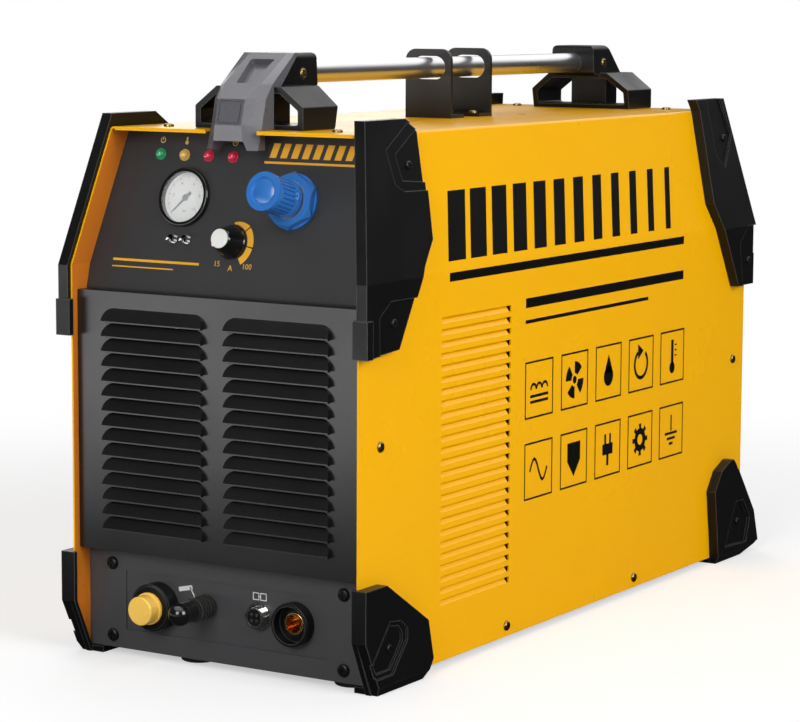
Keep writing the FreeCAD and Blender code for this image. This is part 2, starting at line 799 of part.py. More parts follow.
def make_lamps():
    """Four signal lamps, each a domed lens with a collar that seats on the panel."""
    lenses = []
    for x in lamp_xs:
        stem = rod_y(x, lamp_s, lamp_radius, -1, panel_sheet + 6)
        collar = rod_y(x, lamp_s, lamp_collar_radius, -1.0, 0)
        dome = Part.makeSphere(lamp_dome_radius, Vector(x, -1.0, lamp_s))
        dome = dome.common(rod_y(x, lamp_s, lamp_dome_radius + 1, -lamp_dome_radius - 2, -0.9))
        lenses.append(joined([stem, collar, dome]))
    return {"lamp_green": on_panel(lenses[0]), "lamp_amber": on_panel(lenses[1]),
            "lamps_red": on_panel(group(lenses[2:]))}


def torch_nipple():
    """Brass nipple that carries air and current to the torch."""
    x, z = torch_x, socket_z
    front = low_y + field_depth - torch_proud
    back = low_y + low_sheet
    collar = rod_y(x, z, torch_bore_radius, back, back + 4)
    stub = rod_y(x, z, nipple_radius, front - nipple_reach, back + 4)
    tail = rod_y(x, z, nipple_bore + 3, back + 4, back + 22)
    return joined([collar, stub, tail]).cut(rod_y(x, z, nipple_bore, front - 20, back + 30))


def make_torch_socket():
    """Torch connection: black boss with its ring nut, and the yellow cap that protects the nipple."""
    x, z = torch_x, socket_z
    seat = low_y + field_depth
    front = seat - torch_proud
    behind = low_y + low_sheet
    boss = rod_y(x, z, torch_radius, front, seat)
    boss = boss.makeChamfer(1.5, front_rim(boss, front))
    spigot = rod_y(x, z, torch_spigot_radius, seat, behind + 8)
    bore = rod_y(x, z, torch_bore_radius, front - 1, behind + 4)
    passage = rod_y(x, z, nipple_bore + 3, behind, behind + 9)
    socket = boss.fuse(spigot).cut([bore, passage])
    nut = hexagon_y(x, z, 40, behind, behind + 5).cut(rod_y(x, z, torch_spigot_radius, 0, 60))
    back = front - fit_gap
    body = rod_y(x, z, cap_radius, back - cap_length, back)
    body = body.makeFillet(1.4, front_rim(body, back - cap_length))
    flange = rod_y(x, z, cap_flange_radius, back - cap_flange_thickness, back)
    hollow = rod_y(x, z, nipple_radius + run_gap, back - nipple_reach - 1, back + 1)
    cap = body.fuse(flange).cut(hollow)
    return {"torch_socket": group([socket, nut]), "dust_cap": cap}


def make_pilot_post():
    """Pilot lead terminal: ribbed insulating sleeve and a ball-ended clamping knob on a stem."""
    x, z = post_x, post_z
    seat = low_y + field_depth
    length = post_length
    sleeve = rod_y(x, z, post_core_radius, seat - length, seat)
    ribs = []
    step = length / (post_ribs + 1)
    for i in range(post_ribs):
        middle = seat - step * (i + 1)
        ribs.append(rod_y(x, z, post_radius, middle - step * 0.28, middle + step * 0.28))
    root = rod_y(x, z, post_stem_radius + 2, seat, seat + 20)
    bore = rod_y(x, z, post_stem_radius + run_gap, seat - length - 1, seat + 10)
    sleeve = joined([sleeve, root] + ribs).cut(bore)
    ball_y = seat - post_ball_reach
    ball = Part.makeSphere(post_ball_radius, Vector(x, ball_y, z))
    neck = rod_y(x, z, post_ball_radius - 0.6, ball_y + 1, seat - length - fit_gap)
    stem = rod_y(x, z, post_stem_radius, ball_y, seat + 9)
    return {"pilot_sleeve": sleeve, "pilot_knob": joined([ball, neck, stem])}


def signal_pin_places():
    turns = [math.pi / 4 + 2 * math.pi * i / signal_pin_count for i in range(signal_pin_count)]
    return [(signal_x + signal_pin_circle * math.cos(t), signal_z + signal_pin_circle * math.sin(t))
            for t in turns]


def signal_pins():
    """Contact pins of the four-pole socket."""
    seat = low_y + field_depth
    return [rod_y(x, z, signal_pin_radius, seat - signal_reach + 0.4, seat + 18)
            for x, z in signal_pin_places()]


def make_signal_socket():
    """Four-pole screw socket for the trigger lead: bright shell and pins, black insert."""
    x, z = signal_x, signal_z
    seat = low_y + field_depth
    front = seat - signal_reach
    flange = rod_y(x, z, signal_flange_radius, seat - 2.2, seat)
    shell = rod_y(x, z, signal_thread_radius, front, seat + 14)
    bore = rod_y(x, z, signal_bore_radius, front - 1, seat + 15)
    key = box(x - 0.8, x + 0.8, front - 1, seat - 3, z, z + signal_thread_radius - 0.5)
    shell = flange.fuse(shell).cut([bore, key])
    insert = rod_y(x, z, signal_bore_radius, front + signal_recess, seat + 12)
    holes = [rod_y(px, pz, signal_pin_radius, front - 1, seat + 20) for px, pz in signal_pin_places()]
    return {"signal_shell": group([shell] + signal_pins()), "signal_insert": insert.cut(holes)}


def work_contact():
    """Brass contact of the work socket, bored for the bayonet plug."""
    x, z = work_x, work_z
    face = low_y + field_depth - work_proud + work_contact_inset
    back = face + work_bore_depth + work_contact_end
    contact = rod_y(x, z, work_contact_radius, face, back)
    contact = contact.makeFillet(0.8, front_rim(contact, face))
    stud = rod_y(x, z, work_stud_radius, back, back + work_spigot_length)
    return contact.fuse(stud).cut(rod_y(x, z, work_bore_radius, face - 1, face + work_bore_depth))


def make_work_socket():
    """Insulating collar of the bayonet socket for the work lead."""
    x, z = work_x, work_z
    seat = low_y + field_depth
    front = seat - work_proud
    back = seat + work_spigot_length
    inner = work_radius - work_wall
    collar = rod_y(x, z, work_radius, front, seat)
    collar = collar.makeFillet(1.2, front_rim(collar, front))
    spigot = rod_y(x, z, inner, seat, back)
    groove = rod_y(x, z, inner, front - 1, front + work_groove)
    passage = rod_y(x, z, work_contact_radius, front, back + 1)
    return {"work_socket": collar.fuse(spigot).cut([groove, passage])}


def guard_band(low_z, high_z, thickness, y0, y1):
    """Slab that lies on the right side of the case and follows its lean."""
    inner, outer = half_width, half_width + thickness
    if high_z <= shoulder_z:
        return box(inner, outer, y0, y1, low_z, high_z)
    shift = lean * (high_z - shoulder_z)
    points = [(inner, low_z), (outer, low_z), (outer, shoulder_z), (outer - shift, high_z),
              (inner - shift, high_z), (inner, shoulder_z)]
    return prism_y(points, y0, y1)


def guard_pocket(outline, depth, low_z, high_z):
    """Cutter for a recess of the given depth in the outer face of a guard."""
    skin = guard_band(low_z, high_z, guard_thickness + 5, -20, body_depth + 20)
    core = guard_band(low_z - 1, high_z + 1, guard_thickness - depth, -21, body_depth + 21)
    return prism_x(outline, 0, half_width + 30).common(skin).cut(core)


def on_guard(y, z, depth):
    """Seat and outward direction of a screw in a guard pocket of the given depth."""
    angle = math.atan(lean) if z > shoulder_z else 0.0
    return ((case_half(z) + guard_thickness - depth, y, z), (math.cos(angle), 0, math.sin(angle)))


def upper_front_guard():
    """Outline, pockets and screws of the right upper front guard, seen from its side."""
    low, high, lead = guard_upper_low_z, guard_top_z, guard_lead
    top_y = slope * (high - shoulder_z) - lead
    outline = [(-lead, low), (46, low + 3), (81, low + 64), (98, shoulder_z + 27), (102, shoulder_z + 69),
               (104, top_z), (84, high), (top_y, high), (-lead, shoulder_z)]
    dish = [(50, top_z - 12), (86, top_z + 7), (120, top_z + 7), (120, top_z - 45), (68, top_z - 44),
            (56, top_z - 38)]
    well = [(65, top_z - 16), (100, top_z + 2), (120, top_z + 2), (120, top_z - 40), (70, top_z - 36)]
    lower = [(14, low + 30), (30, low + 41), (90, low + 41), (90, low - 10), (15, low - 10)]
    screws = [on_guard(84, top_z - 25, 4.0), on_guard(37, low + 24, 2.5)]
    return outline, [(dish, 2.0), (well, 4.0), (lower, 2.5)], screws


def upper_rear_guard():
    """Outline, pockets and screws of the right upper rear guard."""
    low, high, end = guard_upper_low_z, guard_top_z, body_depth
    edge = end + guard_lead
    top_y = slope * (high - shoulder_z) - guard_lead
    outline = [(end - 31, low), (edge, low), (edge, shoulder_z), (end - top_y, high), (end - 85, high),
               (end - 80, top_z), (end - 79, shoulder_z + 24)]
    dish = [(end - 64, high + 5), (end - 36, high + 5), (end - 21, top_z - 23), (end - 44, top_z - 53),
            (end - 60, top_z - 41)]
    lower = [(end - 30, low + 40), (end - 13, low + 56), (end + 24, low + 56), (end + 24, low - 10),
             (end - 21, low - 10)]
    screws = [on_guard(end - 36, top_z - 26, 2.0), on_guard(end - 8, low + 23, 2.5)]
    return outline, [(dish, 2.0), (lower, 2.5)], screws


def lower_front_guard():
    """Outline, pockets and screws of the right lower front guard."""
    high, lead, run = guard_lower_high_z, guard_lead, guard_front_run
    outline = [(-lead, toe_z), (toe_setback, 0), (run, 0), (run + 11, 15), (run + 3, 47), (26, high),
               (-lead, high)]
    dish = [(3, 25), (30, 56), (46, 54), (56, 46), (56, 37), (35, 14), (12, 14)]
    well = [(9, 25), (32, 52), (45, 50), (51, 44), (51, 37), (34, 18), (14, 18)]
    return outline, [(dish, 2.0), (well, 4.0)], [on_guard(34.5, 34, 4.0)]


def lower_rear_guard():
    """Outline, pockets and screws of the right lower rear guard."""
    end, run, high = body_depth, body_depth - guard_rear_run, guard_rear_high_z
    outline = [(run + 6, 0), (run + 2, 31), (run - 4, 70), (run + 10, high - 8), (run + 30, high),
               (end - 34, high), (end - 19, high - 16), (end + guard_heel - 10, 40),
               (end + guard_heel, 10), (end - 10, 0)]
    dish = [(end - 50, 14), (end - 48, 20), (end - 28, 54), (end - 12, 54), (end + 4, 34), (end - 4, 12)]
    return outline, [(dish, 3.0)], [on_guard(end - 20, 34, 3.0)]


def guard_screw_places():
    """Where the screws of the four right-hand guards sit."""
    guards = (upper_front_guard(), upper_rear_guard(), lower_front_guard(), lower_rear_guard())
    return [screw for guard in guards for screw in guard[2]]


def upper_block(front):
    """Thicker toe at the foot of an upper guard, lapping the edge of the case."""
    low, high = guard_upper_low_z, guard_upper_low_z + guard_block_height
    if front:
        y0, y1 = -guard_lead - 1.5, -fit_gap
        wide_y0, wide_y1 = y0, 3.0
    else:
        y0, y1 = body_depth + fit_gap, body_depth + guard_lead + 1.5
        wide_y0, wide_y1 = body_depth - 3.0, y1
    lap = box(half_width - 2.5, half_width + 1, y0, y1, low, high)
    toe = box(half_width, half_width + guard_thickness + 1.5, wide_y0, wide_y1, low, high)
    return toe.fuse(lap)


def lower_wrap(front):
    """Strip of a lower guard that laps the edge of the case, and its lip under the tray."""
    high, lead, end = guard_lower_high_z, guard_lead, body_depth
    toe_run = toe_setback * toe_z / (toe_z - hem_z)
    x0, x1 = half_width - foot_lip_inset, half_width + 1
    if front:
        strip_yz = [(-lead, toe_z), (toe_run - lead, 0), (toe_run - fit_gap, 0), (-fit_gap, toe_z),
                    (-fit_gap, high), (-lead, high)]
        lip = box(x0, x1, toe_setback, guard_front_run, 0, hem_z - fit_gap)
    else:
        strip_yz = [(end + fit_gap, toe_z), (end - toe_run + fit_gap, 0), (end - toe_run + lead, 0),
                    (end + lead, toe_z), (end + lead, toe_z + 4), (end + fit_gap, toe_z + 8)]
        lip = box(x0, x1, end - guard_rear_run + 6, end - toe_setback, 0, hem_z - fit_gap)
    strip = prism_x(strip_yz, half_width - guard_wrap, half_width + 1)
    return strip.fuse(lip)


def make_guard(parts, low_z, high_z, extra, bevel_low):
    """One right-hand corner guard with its pockets and screw holes."""
    outline, pockets, screws = parts
    band = guard_band(low_z, high_z, guard_thickness, -30, body_depth + 30)
    body = prism_x(outline, 0, half_width + 30).common(band)
    body = body.fuse(extra)
    cutters = [guard_pocket(points, depth, low_z, high_z) for points, depth in pockets]
    holes = [screw_hole(point, outward, guard_screw_radius, 30) for point, outward in screws]
    if bevel_low:
        reach = half_width + guard_thickness
        bevel = [(reach + 0.5, -1), (reach - 4, -1), (reach + 0.5, 8)]
        cutters.append(prism_y(bevel, -30, body_depth + 30))
    return body.cut(cutters + holes).removeSplitter()


def make_guards():
    """All eight guards, the left ones mirrored from the right."""
    low, high = guard_upper_low_z, guard_top_z
    front_high, rear_high = guard_lower_high_z, guard_rear_high_z
    right = {
        "guards_upper_front": make_guard(upper_front_guard(), low, high, upper_block(True), False),
        "guards_upper_rear": make_guard(upper_rear_guard(), low, high, upper_block(False), False),
        "guards_lower_front": make_guard(lower_front_guard(), 0, front_high, lower_wrap(True), True),
        "guards_lower_rear": make_guard(lower_rear_guard(), 0, rear_high, lower_wrap(False), True),
    }
    return {name: group([shape, mirrored_x(shape)]) for name, shape in right.items()}


def guard_screws():
    """Screws through all eight guards into the side sheets."""
    reach = guard_thickness + sheet
    screws = [dome_screw(p, d, guard_screw_radius, reach) for p, d in guard_screw_places()]
    return screws + [mirrored_x(screw) for screw in screws]


def head_slant(z):
    """Where the slanted outer end of a bracket's head lies at height z."""
    return head_front_y + (head_top_y - head_front_y) * (z - waist_z) / (bracket_top_z - waist_z)


def bracket_frame():
    """Closed frame of a bracket: a sole, two legs that lean in to the waist, and a bar over them."""
    foot, waist = foot_half_width, waist_half_width
    low, knee, wall = top_z, top_z + foot_height, bracket_wall
    y0, y1 = front_foot_y, front_foot_y + foot_length
    outline = [(-foot, low), (foot, low), (foot, knee), (waist, waist_z), (-waist, waist_z),
               (-foot, knee)]
    solid = prism_y(outline, y0, y1 + waist_overhang, [1.5, 1.5, 2, 1, 1, 2])
    side = prism_x([(y0, low), (y1, low), (y1 + waist_overhang, waist_z), (y0, waist_z)], -foot, foot)
    run_x, run_z = foot - waist, waist_z - knee
    run = math.hypot(run_x, run_z)
    inner_knee = knee - wall * (run - run_z) / run_x
    inner_waist = foot - (run_z - wall) * run_x / run_z - wall * run / run_z
    inside, sole = foot - wall, low + bracket_sole
    room = [(-inside, sole), (inside, sole), (inside, inner_knee), (inner_waist, waist_z - wall),
            (-inner_waist, waist_z - wall), (-inside, inner_knee)]
    return solid.common(side).cut(prism_y(room, y0 - 1, y1 + 50, [2] * 6))


def bracket():
    """Moulded handle bracket, drawn for the front: frame, web in its middle and head for the tube."""
    half, front = head_half_width, front_foot_y
    web_y = front + web_front_gap
    web = box(-web_half_width, web_half_width, web_y, web_y + web_thickness, top_z, waist_z)
    core = box(-web_core_half_width, web_core_half_width, front, web_y + 1, top_z, waist_z)
    low = waist_z - bracket_wall + 0.5
    profile = [(head_slant(waist_z), low), (head_slant(waist_z), waist_z), (head_top_y, bracket_top_z),
               (head_rear_y, bracket_top_z), (head_rear_y, waist_z), (front + foot_length, low)]
    head = prism_x(profile, -half, half, [0, 0, 1.5, 2, 2, 0])
    face = [(-half, low), (half, low), (half - 1.5, bracket_top_z), (-half + 1.5, bracket_top_z)]
    head = head.common(prism_y(face, 0, head_rear_y + 10, [0, 0, 5, 5]))
    seat = rod_y(0, tube_z, tube_radius, head_rear_y - cup_depth, head_rear_y + 1)
    cutters = [seat]
    cutters += [screw_hole(point, outward, cover_head, bracket_screw_reach)
                for point, outward in bracket_screw_places()]
    for point, outward in clamp_screw_places():
        cutters.append(screw_hole(point, outward, clamp_head, 30))
        cutters.append(Part.makeCylinder(clamp_head + 0.4, 5, Vector(*point), Vector(*outward)))
    return joined([bracket_frame(), web, core, head]).cut(cutters)


def to_rear(shape):
    """The same piece turned round to the rear end of the handle."""
    return shape.mirror(Vector(0, handle_mid_y, 0), Vector(0, 1, 0))


def bracket_screw_places():
    """Screws from inside the case up into the foot of the front bracket."""
    middle = front_foot_y + foot_length / 2
    return [((x, middle, top_z - sheet), (0, 0, -1)) for x in (-bracket_screw_x, bracket_screw_x)]


def clamp_screw_places():
    """Screws in the sides of the front bracket that pinch the tube."""
    inset = head_half_width - 1.6
    return [((side * inset, head_rear_y - clamp_back, tube_z), (side, 0, 0)) for side in (-1, 1)]


def make_handle():
    """Carrying tube in its two brackets, and the grey nose on the front one."""
    front = bracket()
    seat = head_rear_y - cup_depth
    far = 2 * handle_mid_y - seat
    tube = rod_y(0, tube_z, tube_radius, seat, far)
    tube = tube.cut(rod_y(0, tube_z, tube_radius - tube_wall, seat - 1, far + 1))
    return {"bracket_front": front, "bracket_rear": to_rear(front), "handle_tube": tube,
            "bracket_nose": make_nose()}


def handle_screws():
    """Clamp and foot screws of both brackets."""
    reach = head_half_width - 1.6 - tube_radius
    screws = [dome_screw(point, outward, clamp_head, reach) for point, outward in clamp_screw_places()]
    screws += [dome_screw(point, outward, cover_head, bracket_screw_reach)
               for point, outward in bracket_screw_places()]
    return screws + [to_rear(screw) for screw in screws]


def nose_section(z, band_half, front_y, side_y):
    """Six-sided slice of the nose: flat band in front, slanted faces out to its full width."""
    wide, back = nose_half_width, head_top_y + 5
    corners = [(-wide, back), (wide, back), (wide, side_y), (band_half, front_y), (-band_half, front_y),
               (-wide, side_y)]
    return rounded([Vector(x, y, z) for x, y in corners], [0] * 6)


def on_slant(shape, low, high):
    """Lay a shape drawn on an upright face onto the slanted one that runs from low to high."""
    tilt = math.degrees(math.atan2(high[0] - low[0], high[1] - low[1]))
    shape.Placement = Placement(Vector(0, low[0], low[1]), Rotation(Vector(1, 0, 0), -tilt))
    return shape


def make_nose():
    """Grey bumper on the front bracket: it fills a notch in the top and leans back to the tube."""
    low, crest = top_z - nose_drop, (29.5, top_z + nose_crest_rise)
    ledge, brow = (24.1, top_z + nose_ledge_rise), (43.8, top_z + nose_brow_rise)
    tip = (head_top_y - 6.5, bracket_top_z)
    sections = [nose_section(low, 14.5, 24.4, 30.2), nose_section(ledge[1], 12.5, ledge[0], 35.9),
                nose_section(crest[1], 12.5, crest[0], 41.2), nose_section(brow[1], 17.5, brow[0], 50.0),
                nose_section(tip[1], 17.5, tip[0], tip[0] + 1)]
    body = Part.makeLoft(sections, True, True)
    behind = [(front_foot_y, low - 1), (front_foot_y, waist_z), (head_slant(waist_z), waist_z),
              (head_slant(bracket_top_z + 5), bracket_top_z + 5), (head_rear_y, bracket_top_z + 5),
              (head_rear_y, low - 1)]
    notch_z = low + nose_drop - nose_notch_drop
    cutters = [prism_x(behind, -half_width, half_width),
               box(-half_width, half_width, nose_lap_y, head_rear_y, low - 1, top_z + fit_gap),
               prism_y([(-17, low - 1), (17, low - 1), (14, notch_z), (-14, notch_z)], 0, head_rear_y)]
    pocket = prism_y([(-6.6, 1.5), (6.6, 1.5), (11.4, 34), (-11.4, 34)], -8, nose_pocket_depth,
                     [1.5, 1.5, 2, 2])
    cutters.append(on_slant(pocket, brow, tip))
    half, bottom, top = 10.5, 1.0, 19.5
    groove = prism_y([(-half, bottom), (half, bottom), (half, top), (-half, top)], -2, 0.8, [1.5] * 4)
    half, bottom, top = half - nose_groove, bottom + nose_groove, top - nose_groove
    pad = prism_y([(-half, bottom), (half, bottom), (half, top), (-half, top)], -3, 2, [1] * 4)
    cutters.append(on_slant(groove.cut(pad), ledge, crest))
    return body.cut(cutters)


def hanger_feet():
    """Start of each hanger's foot along Y: the feet point toward each other."""
    return (hanger_ys[0], hanger_ys[1] + hanger_sheet - hanger_foot)


def hanger_screw_places():
    screw_ys = (hanger_feet()[0] + hanger_foot * 0.62, hanger_feet()[1] + hanger_foot * 0.38)
    return [((x, y, top_z + hanger_sheet), (0, 0, 1)) for y in screw_ys
            for x in (-hanger_screw_x, hanger_screw_x)]


def make_hangers():
    """Two bent plates over the tube that the leads are hung on, screwed to the top."""
    plates = []
    half, low, high = hanger_half_width, top_z, hanger_top_z
    slot_half, slot_radius = hanger_slot_half_width, hanger_slot_radius
    for y, foot_y in zip(hanger_ys, hanger_feet()):
        plate = prism_y([(-half, low), (half, low), (half, high), (-half, high)], y, y + hanger_sheet,
                        [0, 0, 10, 10])
        slot = prism_y([(-slot_half, tube_z - slot_radius), (slot_half, tube_z - slot_radius),
                        (slot_half, tube_z + slot_radius), (-slot_half, tube_z + slot_radius)],
                       y - 1, y + hanger_sheet + 1, [slot_radius - 0.01] * 4)
        foot = box(-half, half, foot_y, foot_y + hanger_foot, low, low + hanger_sheet)
        holes = [screw_hole(point, outward, cover_head, 8) for point, outward in hanger_screw_places()]
        plates.append(plate.fuse(foot).cut([slot] + holes))
    return group(plates)


def make_rear_panel():
    """Rear sheet with the fan opening, the breaker window and holes for the fittings."""
    low = tray_floor_z + tray_sheet
    panel = case_section(sheet, low, top_z - sheet, rear_y, rear_y + rear_sheet, bend_radius - sheet)
    wide, tall = breaker_window
    x0, x1 = breaker_x - wide / 2, breaker_x + wide / 2
    window = box(x0, x1, rear_y - 1, rear_y + 5, breaker_z - tall / 2, breaker_z + tall / 2)
    y0, y1 = rear_y - 1, rear_y + rear_sheet + 1
    seats = [(gland_x, gland_z, gland_radius), (inlet_x, inlet_z, inlet_neck_radius),
             (earth_x, earth_z, earth_radius)]
    holes = [rod_y(x, z, radius + run_gap, y0, y1) for x, z, radius in seats]
    holes.append(rod_y(0, fan_z, fan_radius, y0, y1))
    holes += [rod_y(x, z, fan_screw_radius, y0, y1) for x, z in fan_corners()]
    rims = []
    for side in (-1, 1):
        outer = half_width - sheet - fit_gap
        edge = box(outer - rear_sheet, outer, rear_y, rear_y + rear_rim, fan_z - 105, fan_z + 65)
        rims.append(edge if side > 0 else mirrored_x(edge))
        holes += [screw_hole(p, d, cover_head, 8) for p, d in cover_screws_on(side)]
    return panel.multiFuse(rims).cut(holes + [window])


def fan_corners():
    return [(sx * fan_pitch / 2, fan_z + sz * fan_pitch / 2) for sx in (-1, 1) for sz in (-1, 1)]


def fan_screws():
    """Screws through the grille tabs and the rear panel into the fan frame."""
    tab_face = rear_y + rear_sheet + grille_tab
    return [dome_screw((x, tab_face, z), (0, 1, 0), 2 * (fan_screw_radius - run_gap), 20)
            for x, z in fan_corners()]


def make_fan_grille():
    """Stamped finger guard of the fan: rings on four spokes that step down to screw tabs."""
    out = rear_y + rear_sheet
    face = out + grille_stand_off
    back = face - grille_strip
    half = grille_strip / 2
    pieces = [ring_y(0, fan_z, radius + half, radius - half, back, face) for radius in grille_rings]
    corner_reach = fan_pitch / math.sqrt(2)
    step = grille_rings[-1] + 6
    for i in range(4):
        arm = joined([box(-half, half, back, face, grille_rings[0], step),
                      box(-half, half, out, face, step - grille_strip, step),
                      box(-half, half, out, out + grille_tab, step - grille_strip, corner_reach)])
        arm.rotate(Vector(0, 0, 0), Vector(0, 1, 0), 45 + 90 * i)
        arm.translate(Vector(0, 0, fan_z))
        pieces.append(arm)
    pieces += [rod_y(x, z, 7.5, out, out + grille_tab) for x, z in fan_corners()]
    holes = [rod_y(x, z, fan_screw_radius, out - 1, out + 4) for x, z in fan_corners()]
    return joined(pieces).cut(holes)


def make_fan():
    """Axial fan behind the rear panel: frame with struts, rotor on its shaft, and a wire guard."""
    front = rear_y - fan_depth
    half = fan_frame_half
    shaft_radius = 2.0
    low, high = fan_z - half, fan_z + half
    frame = prism_y([(-half, low), (half, low), (half, high), (-half, high)], front, rear_y, [6] * 4)
    frame = frame.cut(rod_y(0, fan_z, fan_radius, front - 1, rear_y + 1))
    motor = rod_y(0, fan_z, fan_hub_radius, front, front + 4)
    struts = []
    for i in range(4):
        strut = box(-3, 3, front, front + 3, 0, fan_radius + 1)
        strut.rotate(Vector(0, 0, 0), Vector(0, 1, 0), 45 + 90 * i)
        strut.translate(Vector(0, 0, fan_z))
        struts.append(strut)
    holes = [rod_y(x, z, fan_screw_radius, front - 1, rear_y + 1) for x, z in fan_corners()]
    holes.append(rod_y(0, fan_z, shaft_radius + run_gap, front - 1, front + 5))
    frame = joined([frame, motor] + struts).cut(holes)
    rotor_front, rotor_back = front + 4 + fit_gap, rear_y - 2
    hub = rod_y(0, fan_z, fan_hub_radius, rotor_front, rotor_back)
    shaft = rod_y(0, fan_z, shaft_radius, front + 1, rotor_front + 1)
    tip = fan_radius - fan_tip_gap
    swept = rod_y(0, fan_z, tip, rotor_front, rotor_back)
    blades = []
    for i in range(fan_blades):
        blade = box(-1.0, 1.0, -13, 13, fan_hub_radius - 2, tip + 4)
        blade.rotate(Vector(0, 0, 0), Vector(0, 0, 1), 48)
        blade.translate(Vector(0, (rotor_front + rotor_back) / 2, 0))
        blade.rotate(Vector(0, 0, 0), Vector(0, 1, 0), 360.0 * i / fan_blades)
        blade.translate(Vector(0, 0, fan_z))
        blades.append(blade.common(swept))
    rotor = hub.multiFuse([shaft] + blades)
    return {"fan_frame": frame, "fan_rotor": rotor, "fan_grille": make_fan_grille()}


def make_breaker():
    """Mains breaker in the rear window, with its lever."""
    wide, deep, tall = breaker_size
    x0, x1 = breaker_x - wide / 2, breaker_x + wide / 2
    face_y = rear_y + 8
    body = box(x0 - 4, x1 + 4, rear_y - deep, rear_y, breaker_z - tall / 2 - 6, breaker_z + tall / 2 + 6)
    nose = box(x0, x1, rear_y, face_y, breaker_z - 22, breaker_z + 22)
    pivot_y = rear_y - 2
    well = box(x0 + 3.5, x1 - 3.5, rear_y - 16, face_y + 1, breaker_z - 14, breaker_z + 14)
    axle_bore = rod_x(pivot_y, breaker_z, 2.0 + run_gap, x0 + 1, x1 - 1)
    body = body.fuse(nose).cut([well, axle_bore])
    half = breaker_lever_width / 2
    drum = rod_x(pivot_y, breaker_z, 8.0, breaker_x - half, breaker_x + half)
    tab = box(breaker_x - half + 4, breaker_x + half - 4, pivot_y, pivot_y + 22, breaker_z - 2.2,
              breaker_z + 2.2)
    tab.rotate(Vector(0, pivot_y, breaker_z), Vector(1, 0, 0), -breaker_swing_deg / 2)
    axle = rod_x(pivot_y, breaker_z, 2.0, x0 + 1.4, x1 - 1.4)
    return {"breaker": body, "breaker_lever": joined([drum, tab, axle])}


def make_rear_fittings():
    """Cable gland, brass air inlet with its hose tail, and the earth stud."""
    out = rear_y + rear_sheet
    gland = hexagon_y(gland_x, gland_z, 2 * gland_radius + 5, out, out + 6)
    gland = gland.fuse(rod_y(gland_x, gland_z, gland_radius, rear_y - 8, out))
    dome = turned([(0, out + 6), (gland_radius + 1, out + 6), (gland_radius + 1, out + 14),
                   (gland_radius - 3, out + 20), (0, out + 20)], gland_x, gland_z)
    gland = gland.fuse(dome).cut(rod_y(gland_x, gland_z, gland_bore, rear_y - 20, out + 30))
    locknut = hexagon_y(gland_x, gland_z, 2 * gland_radius + 4, rear_y - 6, rear_y)
    locknut = locknut.cut(rod_y(gland_x, gland_z, gland_radius, rear_y - 20, out))
    nut = hexagon_y(inlet_x, inlet_z, 17, out, out + 7)
    neck = rod_y(inlet_x, inlet_z, inlet_neck_radius, rear_y - 18, out)
    tail = rod_y(inlet_x, inlet_z, inlet_tail_radius, out + 7, out + 26)
    barbs = []
    for i in range(3):
        start = out + 10 + 4.5 * i
        barbs.append(turned([(0, start), (inlet_tail_radius + 0.9, start), (inlet_tail_radius, start + 4),
                             (0, start + 4)], inlet_x, inlet_z))
    plain = rod_y(inlet_x, inlet_z, inlet_tail_radius, out + 23, out + 34)
    inlet = joined([nut, neck, tail, plain] + barbs)
    inlet = inlet.cut(rod_y(inlet_x, inlet_z, 2.5, rear_y - 20, out + 40))
    return {"cable_gland": group([gland, locknut]), "air_inlet": inlet}


def earth_stud():
    """Earth bolt in the rear panel, its hexagon head inside and a nut outside."""
    out = rear_y + rear_sheet
    head = hexagon_y(earth_x, earth_z, 13, rear_y - 5, rear_y)
    nut = hexagon_y(earth_x, earth_z, 13, out, out + 6.5)
    return joined([head, nut, rod_y(earth_x, earth_z, earth_radius, rear_y - 1, out + 20)])


# Inside the case
wall_sheet = 1.5
wall_x = -wall_sheet / 2
wall_y0, wall_y1 = 160.0, rear_y - 44.0
wall_high_z = 292.0
sink_depth = 34.0
sink_base = 6.0
sink_fins = 14
sink_fin = 1.6
sink_length = 110.0
sink_y0, sink_y1 = rear_y - 304.0, rear_y - 74.0
sink_low_z, sink_high_z = 150.0, 270.0
board_x = -14.0
can_radius = 17.5
can_length = 50.0
valve_x, valve_y = 50.0, 130.0
valve_half = 18.0
hose_radius = 5.0
hose_bore = 3.0


def make_inner_wall():
    """Upright sheet down the middle of the case that carries the power parts."""
    low = tray_floor_z + tray_sheet
    wall = box(wall_x, wall_x + wall_sheet, wall_y0, wall_y1, low, wall_high_z)
    foot = box(wall_x - 16, wall_x, wall_y0, wall_y1, low, low + wall_sheet)
    return wall.fuse(foot)


def make_heat_sinks():
    """Two finned heat sinks bolted to the inner wall, fins outward."""
    sinks = []
    back = wall_x + wall_sheet
    for y0, y1 in ((sink_y0, sink_y0 + sink_length), (sink_y1 - sink_length, sink_y1)):
        plate = box(back, back + sink_base, y0, y1, sink_low_z, sink_high_z)
        pitch = (sink_high_z - sink_low_z - sink_fin) / (sink_fins - 1)
        fins = []
        for i in range(sink_fins):
            z = sink_low_z + i * pitch
            fins.append(box(back + sink_base, back + sink_depth, y0, y1, z, z + sink_fin))
        sinks.append(plate.multiFuse(fins))
    return group(sinks)


def circuit_boards():
    """Inverter board on the inner wall, control board behind the panel, its posts and potentiometer."""
    inverter = box(board_x, board_x + 2, sink_y0 - 10, sink_y1 + 10, sink_low_z - 30, sink_high_z + 15)
    control = box(-100, 28, 16, 17.6, 18, 104)
    control = control.cut(rod_y(gauge_x, gauge_s, gauge_body_radius + 2, 10, 20))
    posts = [rod_y(x, s, 3.0, panel_sheet, 16) for x in (-94.0, 22.0) for s in (24.0, 98.0)]
    return group([inverter, potentiometer()] + [on_panel(shape) for shape in [control] + posts])


